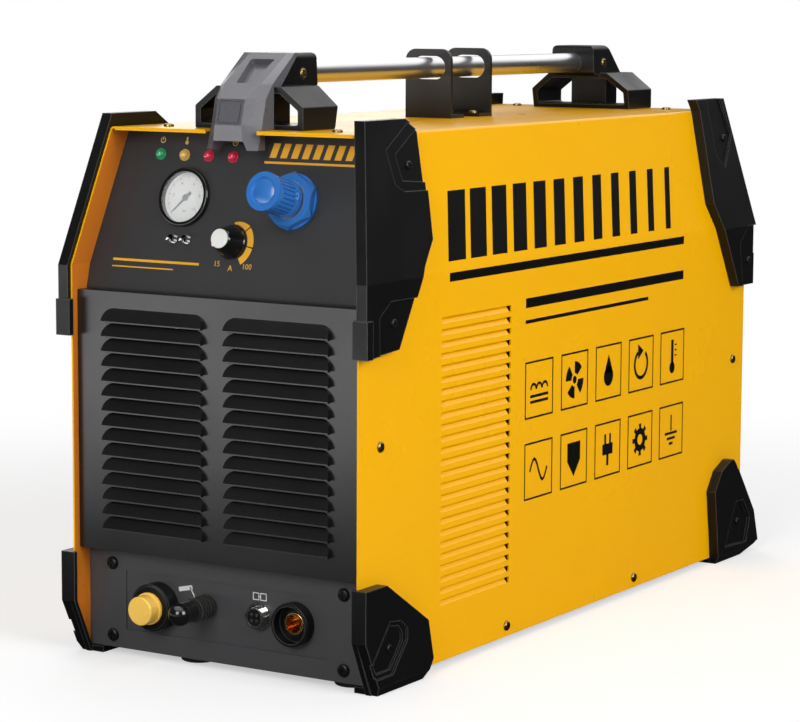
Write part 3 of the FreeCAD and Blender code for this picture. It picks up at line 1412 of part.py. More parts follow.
def power_blocks():
    """Transistor modules and capacitors on the inverter board, and the arc igniter on the tray."""
    floor = tray_floor_z + tray_sheet
    starts = [sink_y0 + 15 + 60 * i for i in range(4)]
    blocks = [box(board_x + 2, wall_x, y, y + 34, sink_low_z + 20, sink_high_z - 20) for y in starts]
    middle, end = (sink_low_z + sink_high_z) / 2, board_x - can_length
    for i in range(5):
        can = rod_x(sink_y0 + 20 + 45 * i, middle, can_radius, end, board_x)
        rim = [e for e in can.Edges if e.BoundBox.XMax < end + 0.1 and e.Length > 20]
        blocks.append(can.makeFillet(1.5, rim))
    blocks.append(box(-112, -46, 150, 230, floor, floor + 60))
    return group(blocks)


def transformer():
    """Main transformer on the tray: core, winding, and the output choke beside it."""
    floor, limb, tall = tray_floor_z + tray_sheet, 18.0, 92.0
    x0, x1, y0, y1 = 30.0, 110.0, sink_y0, sink_y0 + 70
    core = box(x0, x1, y0, y1, floor, floor + tall)
    core = core.cut(box(x0 + limb, x1 - limb, y0 - 1, y1 + 1, floor + limb, floor + tall - limb))
    coil = box(x0 + limb, x1 - limb, y0 - 12, y1 + 12, floor + limb, floor + tall - limb)
    upright = [e for e in coil.Edges if e.BoundBox.XLength < 0.01 and e.BoundBox.YLength < 0.01]
    choke_y = sink_y0 + 140
    choke = Part.makeTorus(30, 14, Vector(-70, choke_y, floor + 44), Vector(0, 1, 0))
    saddle = box(-100, -40, choke_y - 12, choke_y + 12, floor, floor + 12)
    return group([core, coil.makeFillet(6, upright), choke.fuse(saddle)])


def make_power_parts():
    return {"heat_sinks": make_heat_sinks(), "circuit_boards": circuit_boards(),
            "power_blocks": power_blocks(), "transformer": transformer()}


def hose(points, bend):
    """Round hose along straight runs joined by tangent arcs."""
    edges = []
    last = Vector(*points[0])
    for i in range(1, len(points) - 1):
        corner = Vector(*points[i])
        before = (Vector(*points[i - 1]) - corner)
        after = (Vector(*points[i + 1]) - corner)
        before.normalize()
        after.normalize()
        half_angle = before.getAngle(after) / 2
        run = bend / math.tan(half_angle)
        middle = before + after
        middle.normalize()
        centre = corner + middle * (bend / math.sin(half_angle))
        start, end = corner + before * run, corner + after * run
        edges.append(Part.LineSegment(last, start).toShape())
        edges.append(Part.Arc(start, centre - middle * bend, end).toShape())
        last = end
    edges.append(Part.LineSegment(last, Vector(*points[-1])).toShape())
    path = Part.Wire(edges)
    direction = Vector(*points[1]) - Vector(*points[0])
    outer = Part.Wire(Part.makeCircle(hose_radius, Vector(*points[0]), direction))
    inner = Part.Wire(Part.makeCircle(hose_bore, Vector(*points[0]), direction))
    return path.makePipeShell([outer], True, False).cut(path.makePipeShell([inner], True, False))


def make_air_parts():
    """Solenoid valve on the tray, and the hoses from inlet to regulator and from valve to torch."""
    floor = tray_floor_z + tray_sheet
    block = box(valve_x - valve_half, valve_x + valve_half, valve_y - 16, valve_y + 16, floor, floor + 24)
    coil = rod_z(valve_x, valve_y, 15, floor + 24, floor + 64)
    tilt = math.radians(slope_deg)
    depth = panel_sheet + regulator_body_length
    port_y = panel_foot_y + regulator_s * math.sin(tilt) + depth * math.cos(tilt)
    port_z = panel_foot_z + regulator_s * math.cos(tilt) - depth * math.sin(tilt)
    supply = hose([(inlet_x, rear_y - 18, inlet_z), (inlet_x, rear_y - 234, inlet_z),
                   (regulator_x, 260, port_z), (regulator_x, port_y + 3, port_z)], 60)
    valve_z = floor + 14
    torch = hose([(torch_x, low_y + low_sheet + 22, socket_z), (torch_x, 80, socket_z),
                  (valve_x - 75, valve_y, valve_z), (valve_x - valve_half, valve_y, valve_z)], 14)
    return {"solenoid_valve": joined([block, coil]), "air_hoses": group([supply, torch])}


def save(name, shape):
    """Write one piece, moved so that the origin is on the floor under the middle of the unit."""
    placed = shape.copy()
    placed.translate(Vector(0, -middle_y, 0))
    if not placed.isValid():
        print("not valid:", name)
    placed.exportStep("parts/" + name + ".step")
    print(name, len(placed.Solids), round(placed.Volume))


def brass_terminals():
    """Brass pieces: torch nipple, work contact and the earth stud."""
    return group([torch_nipple(), work_contact(), earth_stud()])


def main():
    os.makedirs("parts", exist_ok=True)
    nodes = {"cover": make_cover(), "zinc_screws": make_zinc_screws(), "base_tray": make_base_tray(),
             "black_screws": group(low_screws() + guard_screws() + fan_screws()),
             "rubber_feet": make_feet(), "socket_panel": make_socket_panel(),
             "louvre_panel": make_louvre_panel(), "control_panel": make_control_panel(),
             "rear_panel": make_rear_panel(), "inner_wall": make_inner_wall(),
             "hangers": make_hangers(), "brass_terminals": brass_terminals()}
    groups = (make_gauge(), make_regulator(), make_current_knob(), make_toggle_switches(),
              make_lamps(), make_torch_socket(), make_pilot_post(), make_signal_socket(),
              make_work_socket(), make_guards(), make_handle(), make_fan(), make_breaker(),
              make_rear_fittings(), make_power_parts(), make_air_parts())
    for part in groups:
        nodes.update(part)
    for name, shape in nodes.items():
        save(name, shape)


main()
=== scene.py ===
"""Plasma cutter unit: finishes, printed marks, small details, studio light and camera."""
import logging
import math
from dataclasses import dataclass, field
from enum import Enum
from typing import Any, Callable, Sequence

import bmesh
import bpy
from mathutils import Matrix, Vector


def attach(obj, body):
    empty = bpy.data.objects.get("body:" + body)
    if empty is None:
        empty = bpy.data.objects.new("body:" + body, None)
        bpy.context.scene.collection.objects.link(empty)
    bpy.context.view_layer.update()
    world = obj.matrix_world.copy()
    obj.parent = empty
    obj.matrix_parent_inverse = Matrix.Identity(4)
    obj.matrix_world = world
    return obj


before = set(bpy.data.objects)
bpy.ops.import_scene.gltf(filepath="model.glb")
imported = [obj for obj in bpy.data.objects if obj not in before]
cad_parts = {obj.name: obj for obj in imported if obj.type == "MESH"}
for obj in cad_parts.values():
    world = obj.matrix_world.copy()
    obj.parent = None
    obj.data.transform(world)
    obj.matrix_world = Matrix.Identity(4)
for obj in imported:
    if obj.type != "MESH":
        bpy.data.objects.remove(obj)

LOG = logging.getLogger("plasma_cutter")
MM = 0.001
CASE = "case"
# The case in the row frame, in millimetres: its front edge, its depth, half its width and the height
# above which the side sheets lean in.
FRONT_Y = -336.5
CASE_DEPTH = 676.0
HALF_WIDTH = 136.0
BEND_Z = 316.0
# Width of the painted highlight along edges, in millimetres.
EDGE_HIGHLIGHT_MM = 1.3
# Faces nearer than this to the middle plane of the case get no painted shade, in metres.
INNER_FACE_M = 0.05
WHITE = (1.0, 1.0, 1.0, 1.0)


def linear(hex_colour: str) -> tuple[float, float, float, float]:
    """Turns an sRGB hex colour into linear values.

    Args:
        hex_colour: six hex digits, with or without a leading #.

    Returns:
        Red, green, blue and alpha, each from 0 to 1.
    """
    digits = hex_colour.lstrip("#")
    channels = [int(digits[i:i + 2], 16) / 255 for i in (0, 2, 4)]
    values = [c / 12.92 if c <= 0.04045 else ((c + 0.055) / 1.055) ** 2.4 for c in channels]
    return (values[0], values[1], values[2], 1.0)


def add_node(tree: bpy.types.NodeTree, kind: str, settings: dict[Any, Any] | None = None,
             links: dict[Any, bpy.types.NodeSocket] | None = None) -> bpy.types.Node:
    """Adds one shader node, sets it and links what feeds it.

    Args:
        tree: the node tree that the node joins.
        kind: Blender's name for the node type.
        settings: values by input name or index, or by attribute name.
        links: source sockets by input name or index.

    Returns:
        The new node.
    """
    node = tree.nodes.new(kind)
    for key, value in (settings or {}).items():
        if isinstance(key, str) and hasattr(node, key) and key not in node.inputs:
            setattr(node, key, value)
        else:
            node.inputs[key].default_value = value
    for key, source in (links or {}).items():
        tree.links.new(source, node.inputs[key])
    return node


class Surface(Enum):
    """How a surface was made, which decides the pattern of its fine relief."""

    GRAIN = "fine grain all over"
    ORANGE_PEEL = "soft ripple of sprayed powder"
    DRAWN = "fine lines along Y"
    TURNED = "fine rings round Y"
    SMOOTH = "polished mould"


@dataclass(frozen=True)
class Finish:
    """One real material with its surface process.

    Attributes:
        name: material name, the real material and how it was finished.
        colour: sRGB hex colour of the body.
        shade: sRGB hex colour that the body drifts towards in patches.
        roughness: middle roughness.
        metallic: 1 for bare metal.
        ior: refractive index of the surface layer; metals keep 1.5.
        specular: how much of the surface layer's reflection is left; 0.5 is a clean surface.
        coat: weight of a clear layer.
        surface: kind of relief.
        pitch_mm: spacing of the relief, drawn coarser where the real one is too fine to show.
        relief_mm: height of the relief.
        patch_mm: size of the patches in which colour and roughness drift.
        drift: how far the roughness moves between patches.
        alpha: 1 for solid, less for clear glazing.
        glow: strength of a painted glow in the body's colour, which makes a lens look lit from within.
        inner: sRGB hex colour of the painted shade on a folded sheet's inward faces; empty for none.
        edge_highlight: sRGB hex colour of the painted highlight along edges; empty for none.
    """

    name: str
    colour: str
    shade: str
    roughness: float
    metallic: float = 0.0
    ior: float = 1.5
    specular: float = 0.5
    coat: float = 0.0
    surface: Surface = Surface.GRAIN
    pitch_mm: float = 0.8
    relief_mm: float = 0.02
    patch_mm: float = 70.0
    drift: float = 0.05
    alpha: float = 1.0
    glow: float = 0.0
    inner: str = ""
    edge_highlight: str = ""

    def stretch(self) -> tuple[float, float, float]:
        """Works out how the relief pattern is stretched.

        Returns:
            Repeats per metre along X, Y and Z.
        """
        base = 1.0 / (self.pitch_mm * MM)
        if self.surface is Surface.DRAWN:
            return (base, base * 0.012, base)
        if self.surface is Surface.TURNED:
            return (base * 0.02, base, base * 0.02)
        return (base, base, base)

    def paint_inner_shade(self, tree: bpy.types.NodeTree, place: bpy.types.Node,
                    tint: bpy.types.Node) -> bpy.types.Node:
        """Paints shade on faces that look towards the middle of the case, turning the colour browner.

        Args:
            tree: the material's node tree.
            place: the texture coordinate node.
            tint: node that mixes the body colour.

        Returns:
            The node that mixes in the painted shade.
        """
        shape = add_node(tree, "ShaderNodeNewGeometry")
        product = add_node(tree, "ShaderNodeVectorMath", {"operation": "MULTIPLY"},
                           {0: shape.outputs["Normal"], 1: place.outputs["Object"]})
        axes = add_node(tree, "ShaderNodeSeparateXYZ", None, {"Vector": product.outputs["Vector"]})
        inward = add_node(tree, "ShaderNodeMath", {"operation": "LESS_THAN", 1: -INNER_FACE_M},
                          {0: axes.outputs["X"]})
        return add_node(tree, "ShaderNodeMix", {"data_type": "RGBA", 7: linear(self.inner)},
                        {0: inward.outputs["Value"], 6: tint.outputs[2]})

    def paint_edge_highlight(self, tree: bpy.types.NodeTree, tint: bpy.types.Node) -> bpy.types.Node:
        """Paints a highlight along edges by lightening the colour there.

        Args:
            tree: the material's node tree.
            tint: node that mixes the body colour.

        Returns:
            The node that mixes in the painted edge highlight.
        """
        flat, sharp = 0.985, 0.90
        eased = add_node(tree, "ShaderNodeBevel", {"samples": 6, "Radius": EDGE_HIGHLIGHT_MM * MM})
        shape = add_node(tree, "ShaderNodeNewGeometry")
        match = add_node(tree, "ShaderNodeVectorMath", {"operation": "DOT_PRODUCT"},
                         {0: eased.outputs["Normal"], 1: shape.outputs["True Normal"]})
        mask = add_node(tree, "ShaderNodeMapRange", {"From Min": flat, "From Max": sharp},
                        {"Value": match.outputs["Value"]})
        return add_node(tree, "ShaderNodeMix", {"data_type": "RGBA", 7: linear(self.edge_highlight)},
                        {0: mask.outputs["Result"], 6: tint.outputs[2]})

    def build(self) -> bpy.types.Material:
        """Makes the material, or returns it if it was made before.

        Returns:
            The finished procedural material.
        """
        known = bpy.data.materials.get(self.name)
        if known is not None:
            return known
        material = bpy.data.materials.new(self.name)
        material.use_nodes = True
        tree = material.node_tree
        tree.nodes.clear()
        place = add_node(tree, "ShaderNodeTexCoord")
        fine_map = add_node(tree, "ShaderNodeMapping", {"Scale": self.stretch()},
                            {"Vector": place.outputs["Object"]})
        detail = 1.0 if self.surface is Surface.ORANGE_PEEL else 3.0
        fine = add_node(tree, "ShaderNodeTexNoise", {"Scale": 1.0, "Detail": detail, "Roughness": 0.55},
                        {"Vector": fine_map.outputs["Vector"]})
        bump = add_node(tree, "ShaderNodeBump", {"Strength": 1.0, "Distance": self.relief_mm * MM},
                        {"Height": fine.outputs["Fac"]})
        patches = add_node(tree, "ShaderNodeTexNoise",
                           {"Scale": 1.0 / (self.patch_mm * MM), "Detail": 3.0, "Roughness": 0.5},
                           {"Vector": place.outputs["Object"]})
        tint = add_node(tree, "ShaderNodeMix", {"data_type": "RGBA", 6: linear(self.colour),
                                                7: linear(self.shade)}, {0: patches.outputs["Fac"]})
        # Painted shade on the faces turned towards the middle of the case.
        if self.inner:
            tint = self.paint_inner_shade(tree, place, tint)
        # Painted highlight along the edges.
        if self.edge_highlight:
            tint = self.paint_edge_highlight(tree, tint)
        smoothest = max(0.02, self.roughness - self.drift)
        sheen = add_node(tree, "ShaderNodeMapRange",
                         {"From Min": 0.3, "From Max": 0.7, "To Min": smoothest,
                          "To Max": self.roughness + self.drift}, {"Value": patches.outputs["Fac"]})
        # Emission paints a faint glow on the lamp lenses; the other finishes have none.
        body = add_node(tree, "ShaderNodeBsdfPrincipled",
                        {"Metallic": self.metallic, "IOR": self.ior, "Specular IOR Level": self.specular,
                         "Coat Weight": self.coat, "Coat Roughness": 0.12, "Alpha": self.alpha,
                         "Emission Strength": self.glow, "Emission Color": linear(self.colour)},
                        {"Base Color": tint.outputs[2], "Roughness": sheen.outputs["Result"],
                         "Normal": bump.outputs["Normal"]})
        add_node(tree, "ShaderNodeOutputMaterial", None, {"Surface": body.outputs["BSDF"]})
        return material


# Mould grain, drawing lines and turning rings are really 0.05 to 0.3 mm apart, too fine to show. They are
# drawn at 0.4 to 1.2 mm.

# Steel sheet sprayed with epoxy-polyester powder: saturated yellow with a soft ripple and a clear gloss,
# and painted shade that turns the inward faces browner.
YELLOW_POWDER = Finish("steel_yellow_powder_coat", "#FCBA00", "#F6B200", 0.30, specular=0.28,
                       surface=Surface.ORANGE_PEEL, pitch_mm=3.0, relief_mm=0.012, patch_mm=140.0,
                       inner="#CC7420")
# Steel sheet with a satin baked paint: dark warm grey that picks up broad soft highlights.
GREY_BAKED = Finish("steel_satin_baked_paint", "#131314", "#101011", 0.27, specular=0.60,
                    surface=Surface.ORANGE_PEEL, pitch_mm=1.6, relief_mm=0.008, patch_mm=90.0)
# Steel sheet with wrinkle paint: charcoal with a fine speckle of light.
CHARCOAL_TEXTURE = Finish("steel_fine_wrinkle_paint", "#252526", "#1E1E20", 0.52, pitch_mm=1.2,
                          relief_mm=0.07, patch_mm=60.0)
# Steel sheet powder-coated black: the hangers, tray and rear panel, slightly brown in the light.
BLACK_POWDER = Finish("steel_black_powder_coat", "#1E1C1A", "#171615", 0.36, pitch_mm=1.4, relief_mm=0.02,
                      patch_mm=80.0)
# Glass-filled polyamide from a spark-eroded mould: near black, with a sheen that drifts from place to place
# and edges lightened by a painted highlight.
BLACK_POLYAMIDE = Finish("polyamide_spark_eroded_mould", "#111112", "#0C0C0D", 0.34, specular=0.24,
                         pitch_mm=0.9, relief_mm=0.03, patch_mm=45.0, drift=0.08, edge_highlight="#4C4B49")
# ABS from a grained mould: the lower panel, a touch lighter than the guards.
BLACK_ABS = Finish("abs_grained_mould", "#474749", "#404042", 0.40, pitch_mm=1.0, relief_mm=0.03,
                   patch_mm=55.0)
# ABS from a polished mould: black with sharp highlights.
GLOSS_ABS = Finish("abs_polished_mould", "#0C0C0D", "#121213", 0.16, coat=0.3, surface=Surface.SMOOTH,
                   pitch_mm=4.0, relief_mm=0.004, patch_mm=30.0, drift=0.03)
# Polypropylene bumper, moulded: mid grey with a soft sheen on its bevels.
GREY_POLYPROPYLENE = Finish("polypropylene_moulded", "#626268", "#55555A", 0.30, specular=0.75,
                            pitch_mm=1.1, relief_mm=0.02, patch_mm=35.0)
# Acetal knob and nut, moulded: clear blue and waxy, with sharp highlights.
BLUE_ACETAL = Finish("acetal_blue_moulded", "#367AC6", "#286AB8", 0.22, specular=0.7,
                     surface=Surface.SMOOTH, pitch_mm=3.0, relief_mm=0.01, patch_mm=20.0)
# Polyethylene cap, moulded: warm yellow and waxy.
YELLOW_POLYETHYLENE = Finish("polyethylene_yellow_moulded", "#FFD46A", "#FCC852", 0.24,
                             surface=Surface.SMOOTH, pitch_mm=3.0, relief_mm=0.01, patch_mm=18.0)
# ABS knob cap, moulded: off-white, semi-gloss.
WHITE_ABS = Finish("abs_white_moulded", "#F2F2EE", "#E8E8E4", 0.34, surface=Surface.SMOOTH, pitch_mm=3.0,
                   relief_mm=0.006, patch_mm=12.0)
# Natural rubber, moulded: dull black.
RUBBER = Finish("rubber_moulded", "#1E1E1E", "#262626", 0.72, pitch_mm=0.8, relief_mm=0.04, patch_mm=15.0)
# Aluminium tube, drawn and satin anodised: fine lines along its length and a broad soft highlight.
DRAWN_ALUMINIUM = Finish("aluminium_drawn_anodised", "#E8E8EA", "#D8D9DC", 0.30, metallic=1.0,
                         surface=Surface.DRAWN, pitch_mm=0.5, relief_mm=0.01, patch_mm=120.0)
# Aluminium, extruded and left bare: pale grey metal, dull, for heat sinks and regulator body.
BARE_ALUMINIUM = Finish("aluminium_extruded_bare", "#B9BBBE", "#A9ABAE", 0.42, metallic=1.0, pitch_mm=1.0,
                        relief_mm=0.01, patch_mm=40.0)
# Brass with nickel-chrome plating: mirror-like, for switches, socket shell and fan guard.
CHROME_PLATE = Finish("brass_chrome_plated", "#D6D6D4", "#C8C8C6", 0.14, metallic=1.0,
                      surface=Surface.TURNED, pitch_mm=0.4, relief_mm=0.002, patch_mm=12.0, drift=0.04)
# Steel screws, zinc plated and yellow passivated: warm metal, a little dull.
ZINC_PASSIVATED = Finish("steel_zinc_yellow_passivated", "#A58F5E", "#7D6A48", 0.30, metallic=1.0,
                         surface=Surface.SMOOTH, pitch_mm=1.0, relief_mm=0.01, patch_mm=4.0, drift=0.08)
# Steel screws, black oxide: dark with a faint metal sheen.
BLACK_OXIDE = Finish("steel_black_oxide", "#2A2A2B", "#1E1E1F", 0.34, metallic=0.6,
                     surface=Surface.SMOOTH, pitch_mm=1.0, relief_mm=0.01, patch_mm=4.0)
# Steel, galvanised: mid-grey metal, clouded in patches, for inner wall and spindle.
GALVANISED = Finish("steel_galvanised", "#A9ABAD", "#8F9194", 0.38, metallic=1.0, pitch_mm=8.0,
                    relief_mm=0.01, patch_mm=18.0, drift=0.1)
# Brass, turned on a lathe: golden with fine rings, browner in patches.
TURNED_BRASS = Finish("brass_turned", "#EEC078", "#C98F4C", 0.22, metallic=1.0, surface=Surface.TURNED,
                      pitch_mm=0.5, relief_mm=0.006, patch_mm=8.0)
# Enamelled dial: clean white with a faint cloud.
DIAL_ENAMEL = Finish("aluminium_white_enamel", "#F6F6F4", "#ECECEA", 0.40, surface=Surface.SMOOTH,
                     pitch_mm=5.0, relief_mm=0.003, patch_mm=20.0)
# Polycarbonate lens, polished: lets the dial through and keeps a sharp reflection.
CLEAR_LENS = Finish("polycarbonate_clear_polished", "#F4F8F8", "#EEF4F4", 0.05, ior=1.58,
                    surface=Surface.SMOOTH, pitch_mm=6.0, relief_mm=0.002, alpha=0.10, drift=0.02)


def lamp_lens(hue: str, colour: str, shade: str) -> Finish:
    """Polystyrene lamp lens, moulded: deep colour with bright glints and a faint painted glow.

    Args:
        hue: word for the material's name.
        colour: sRGB hex colour of the lens.
        shade: sRGB hex colour that it drifts towards.

    Returns:
        The finish.
    """
    return Finish("polystyrene_%s_lens" % hue, colour, shade, 0.14, ior=1.59, coat=0.5,
                  surface=Surface.SMOOTH, pitch_mm=2.0, relief_mm=0.02, patch_mm=3.0, glow=0.10)


def screen_ink(hue: str, colour: str, shade: str) -> Finish:
    """Screen-printing ink: flat and slightly matte over the paint.

    Args:
        hue: word for the material's name.
        colour: sRGB hex colour of the ink.
        shade: sRGB hex colour that it drifts towards.

    Returns:
        The finish.
    """
    return Finish("screen_ink_" + hue, colour, shade, 0.45, pitch_mm=0.6, relief_mm=0.004, patch_mm=20.0)


GREEN_LENS = lamp_lens("green", "#1F8A5C", "#2FA06C")
AMBER_LENS = lamp_lens("amber", "#C9A24A", "#E0BC62")
RED_LENS = lamp_lens("red", "#B81E3C", "#D63450")
ORANGE_INK = screen_ink("orange", "#EDB02A", "#E2A424")
CREAM_INK = screen_ink("cream", "#E6C27E", "#DCB874")
WHITE_INK = screen_ink("white", "#E4E4E2", "#DADAD8")
GREY_INK = screen_ink("grey", "#8C8C8C", "#969696")
# Black screen ink in a thicker coat: duller than the others.
BLACK_INK = Finish("screen_ink_black", "#0B0A09", "#100F0E", 0.50, specular=0.12, pitch_mm=0.6,
                   relief_mm=0.004, patch_mm=40.0)
# Epoxy laminate under green solder resist: deep green, faintly uneven, half glossy.
SOLDER_RESIST = Finish("epoxy_laminate_solder_resist", "#1D5A34", "#17492A", 0.35, pitch_mm=2.0,
                       relief_mm=0.03, patch_mm=12.0)
# Epoxy, moulded round modules and coils: dark and matte.
MOULDED_EPOXY = Finish("epoxy_moulded_black", "#232326", "#1B1B1E", 0.5, pitch_mm=1.0, relief_mm=0.03)
# Copper wire, enamelled and wound: brown-red metal with fine lines.
COPPER_ENAMEL = Finish("copper_enamelled_winding", "#A4552C", "#8A4422", 0.32, metallic=0.8,
                       surface=Surface.DRAWN, pitch_mm=2.0, relief_mm=0.2, patch_mm=20.0)

# The CAD nodes that each finish goes on.
FINISHED_NODES: tuple[tuple[Finish, str], ...] = (
    (YELLOW_POWDER, "cover"),
    (ZINC_PASSIVATED, "zinc_screws"),
    (BLACK_POWDER, "base_tray rear_panel hangers"),
    (BLACK_OXIDE, "black_screws"),
    (RUBBER, "rubber_feet air_hoses"),
    (BLACK_ABS, "socket_panel fan_frame fan_rotor breaker"),
    (GREY_BAKED, "louvre_panel"),
    (CHARCOAL_TEXTURE, "control_panel"),
    (GALVANISED, "inner_wall regulator_spindle"),
    (TURNED_BRASS, "brass_terminals air_inlet"),
    (GLOSS_ABS, "gauge_case current_knob pilot_knob breaker_lever"),
    (DIAL_ENAMEL, "gauge_dial"),
    (BARE_ALUMINIUM, "gauge_needle regulator_body heat_sinks"),
    (CLEAR_LENS, "gauge_lens"),
    (BLUE_ACETAL, "regulator_nut regulator_knob"),
    (WHITE_ABS, "current_knob_cap"),
    (CHROME_PLATE, "toggle_switches toggle_lever_left toggle_lever_right signal_shell fan_grille"),
    (GREEN_LENS, "lamp_green"),
    (AMBER_LENS, "lamp_amber"),
    (RED_LENS, "lamps_red"),
    (BLACK_POLYAMIDE, "torch_socket pilot_sleeve signal_insert work_socket guards_upper_front "
                      "guards_upper_rear guards_lower_front guards_lower_rear bracket_front "
                      "bracket_rear cable_gland"),
    (YELLOW_POLYETHYLENE, "dust_cap"),
    (DRAWN_ALUMINIUM, "handle_tube"),
    (GREY_POLYPROPYLENE, "bracket_nose"),
    (SOLDER_RESIST, "circuit_boards"),
    (MOULDED_EPOXY, "power_blocks solenoid_valve"),
    (COPPER_ENAMEL, "transformer"))
NODE_FINISHES: dict[str, Finish] = {
    name: finish for finish, names in FINISHED_NODES for name in names.split()}


@dataclass
class FrameDresser:
    """Gives every CAD node its finish, and eases the edges where that shows.

    Attributes:
        sharpest_deg: edges that turn more than this are eased.
        eased: width in millimetres of the bevel added to the edges of a node.
    """

    sharpest_deg: float = 35.0
    eased: dict[str, float] = field(default_factory=lambda: {
        "guards_upper_front": 1.2, "guards_upper_rear": 1.2, "guards_lower_front": 1.2,
        "guards_lower_rear": 1.2, "bracket_front": 1.0, "bracket_rear": 1.0, "bracket_nose": 0.9,
        "socket_panel": 0.5, "louvre_panel": 0.45, "hangers": 0.5, "regulator_nut": 0.5, "breaker": 0.6})

    def dress(self) -> int:
        """Assigns the finishes.

        Returns:
            How many nodes were dressed.
        """
        for name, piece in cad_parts.items():
            material = NODE_FINISHES[name].build()
            if not piece.material_slots:
                piece.data.materials.append(material)
            for slot in piece.material_slots:
                slot.material = material
            if name in self.eased:
                self.ease(piece, self.eased[name])
        return len(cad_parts)

    def ease(self, piece: bpy.types.Object, width_mm: float) -> None:
        """Adds a bevel to the sharp edges of a piece.

        Args:
            piece: the object to ease.
            width_mm: width of the bevel.
        """
        bevel = piece.modifiers.new("eased_edges", "BEVEL")
        bevel.width = width_mm * MM
        bevel.segments = 2
        bevel.limit_method = "ANGLE"
        bevel.angle_limit = math.radians(self.sharpest_deg)
        bevel.harden_normals = False


@dataclass
class Plane:
    """A flat place on the case that marks are printed on.

    Attributes:
        origin: point in the row frame, in millimetres, where both measures are 0.
        across: unit direction of the first measure.
        up: unit direction of the second measure.
    """

    origin: Vector
    across: Vector
    up: Vector

    def placement(self, lift: float) -> Matrix:
        """Placement of flat marks over the plane.

        Args:
            lift: height over the plane in millimetres.

        Returns:
            The placement, in metres.
        """
        normal = self.across.cross(self.up)
        rows = Matrix((self.across, self.up, normal)).transposed().to_4x4()
        rows.translation = (self.origin + normal * lift) * MM
        return rows


# Both slopes are drawn over the same height. The control panel goes back by one amount over it and each
# side sheet leans in by the other, in millimetres.
SLOPE_HEIGHT = 109.0
PANEL_TILT = math.atan2(28.0, SLOPE_HEIGHT)
SIDE_LEAN = math.atan2(20.0, SLOPE_HEIGHT)
# Where the printed faces of the control panel and the lower panel start.
PANEL_FOOT_IN, PANEL_FOOT_Z = 18.2, 297.5
SOCKET_FACE_IN = 20.0
CONTROL_PLANE = Plane(Vector((0, FRONT_Y + PANEL_FOOT_IN, PANEL_FOOT_Z)), Vector((1, 0, 0)),
                      Vector((0, math.sin(PANEL_TILT), math.cos(PANEL_TILT))))
SOCKET_PLANE = Plane(Vector((0, FRONT_Y + SOCKET_FACE_IN, 0)), Vector((1, 0, 0)), Vector((0, 0, 1)))


def side_plane(side: int, leaning: bool) -> Plane:
    """Plane of a side sheet, with the first measure running right as a reader sees it.

    Args:
        side: 1 for the right side of the case, -1 for the left.
        leaning: True for the upper part that leans in.

    Returns:
        The plane. Its first measure starts at the front edge on the right and at the rear on the left.
    """
    start_y = FRONT_Y if side > 0 else FRONT_Y + CASE_DEPTH
    across = Vector((0, side, 0))
    if not leaning:
        return Plane(Vector((side * HALF_WIDTH, start_y, 0)), across, Vector((0, 0, 1)))
    up = Vector((-side * math.sin(SIDE_LEAN), 0, math.cos(SIDE_LEAN)))
    return Plane(Vector((side * HALF_WIDTH, start_y, BEND_Z)), across, up)


Outline = Sequence[tuple[float, float]]


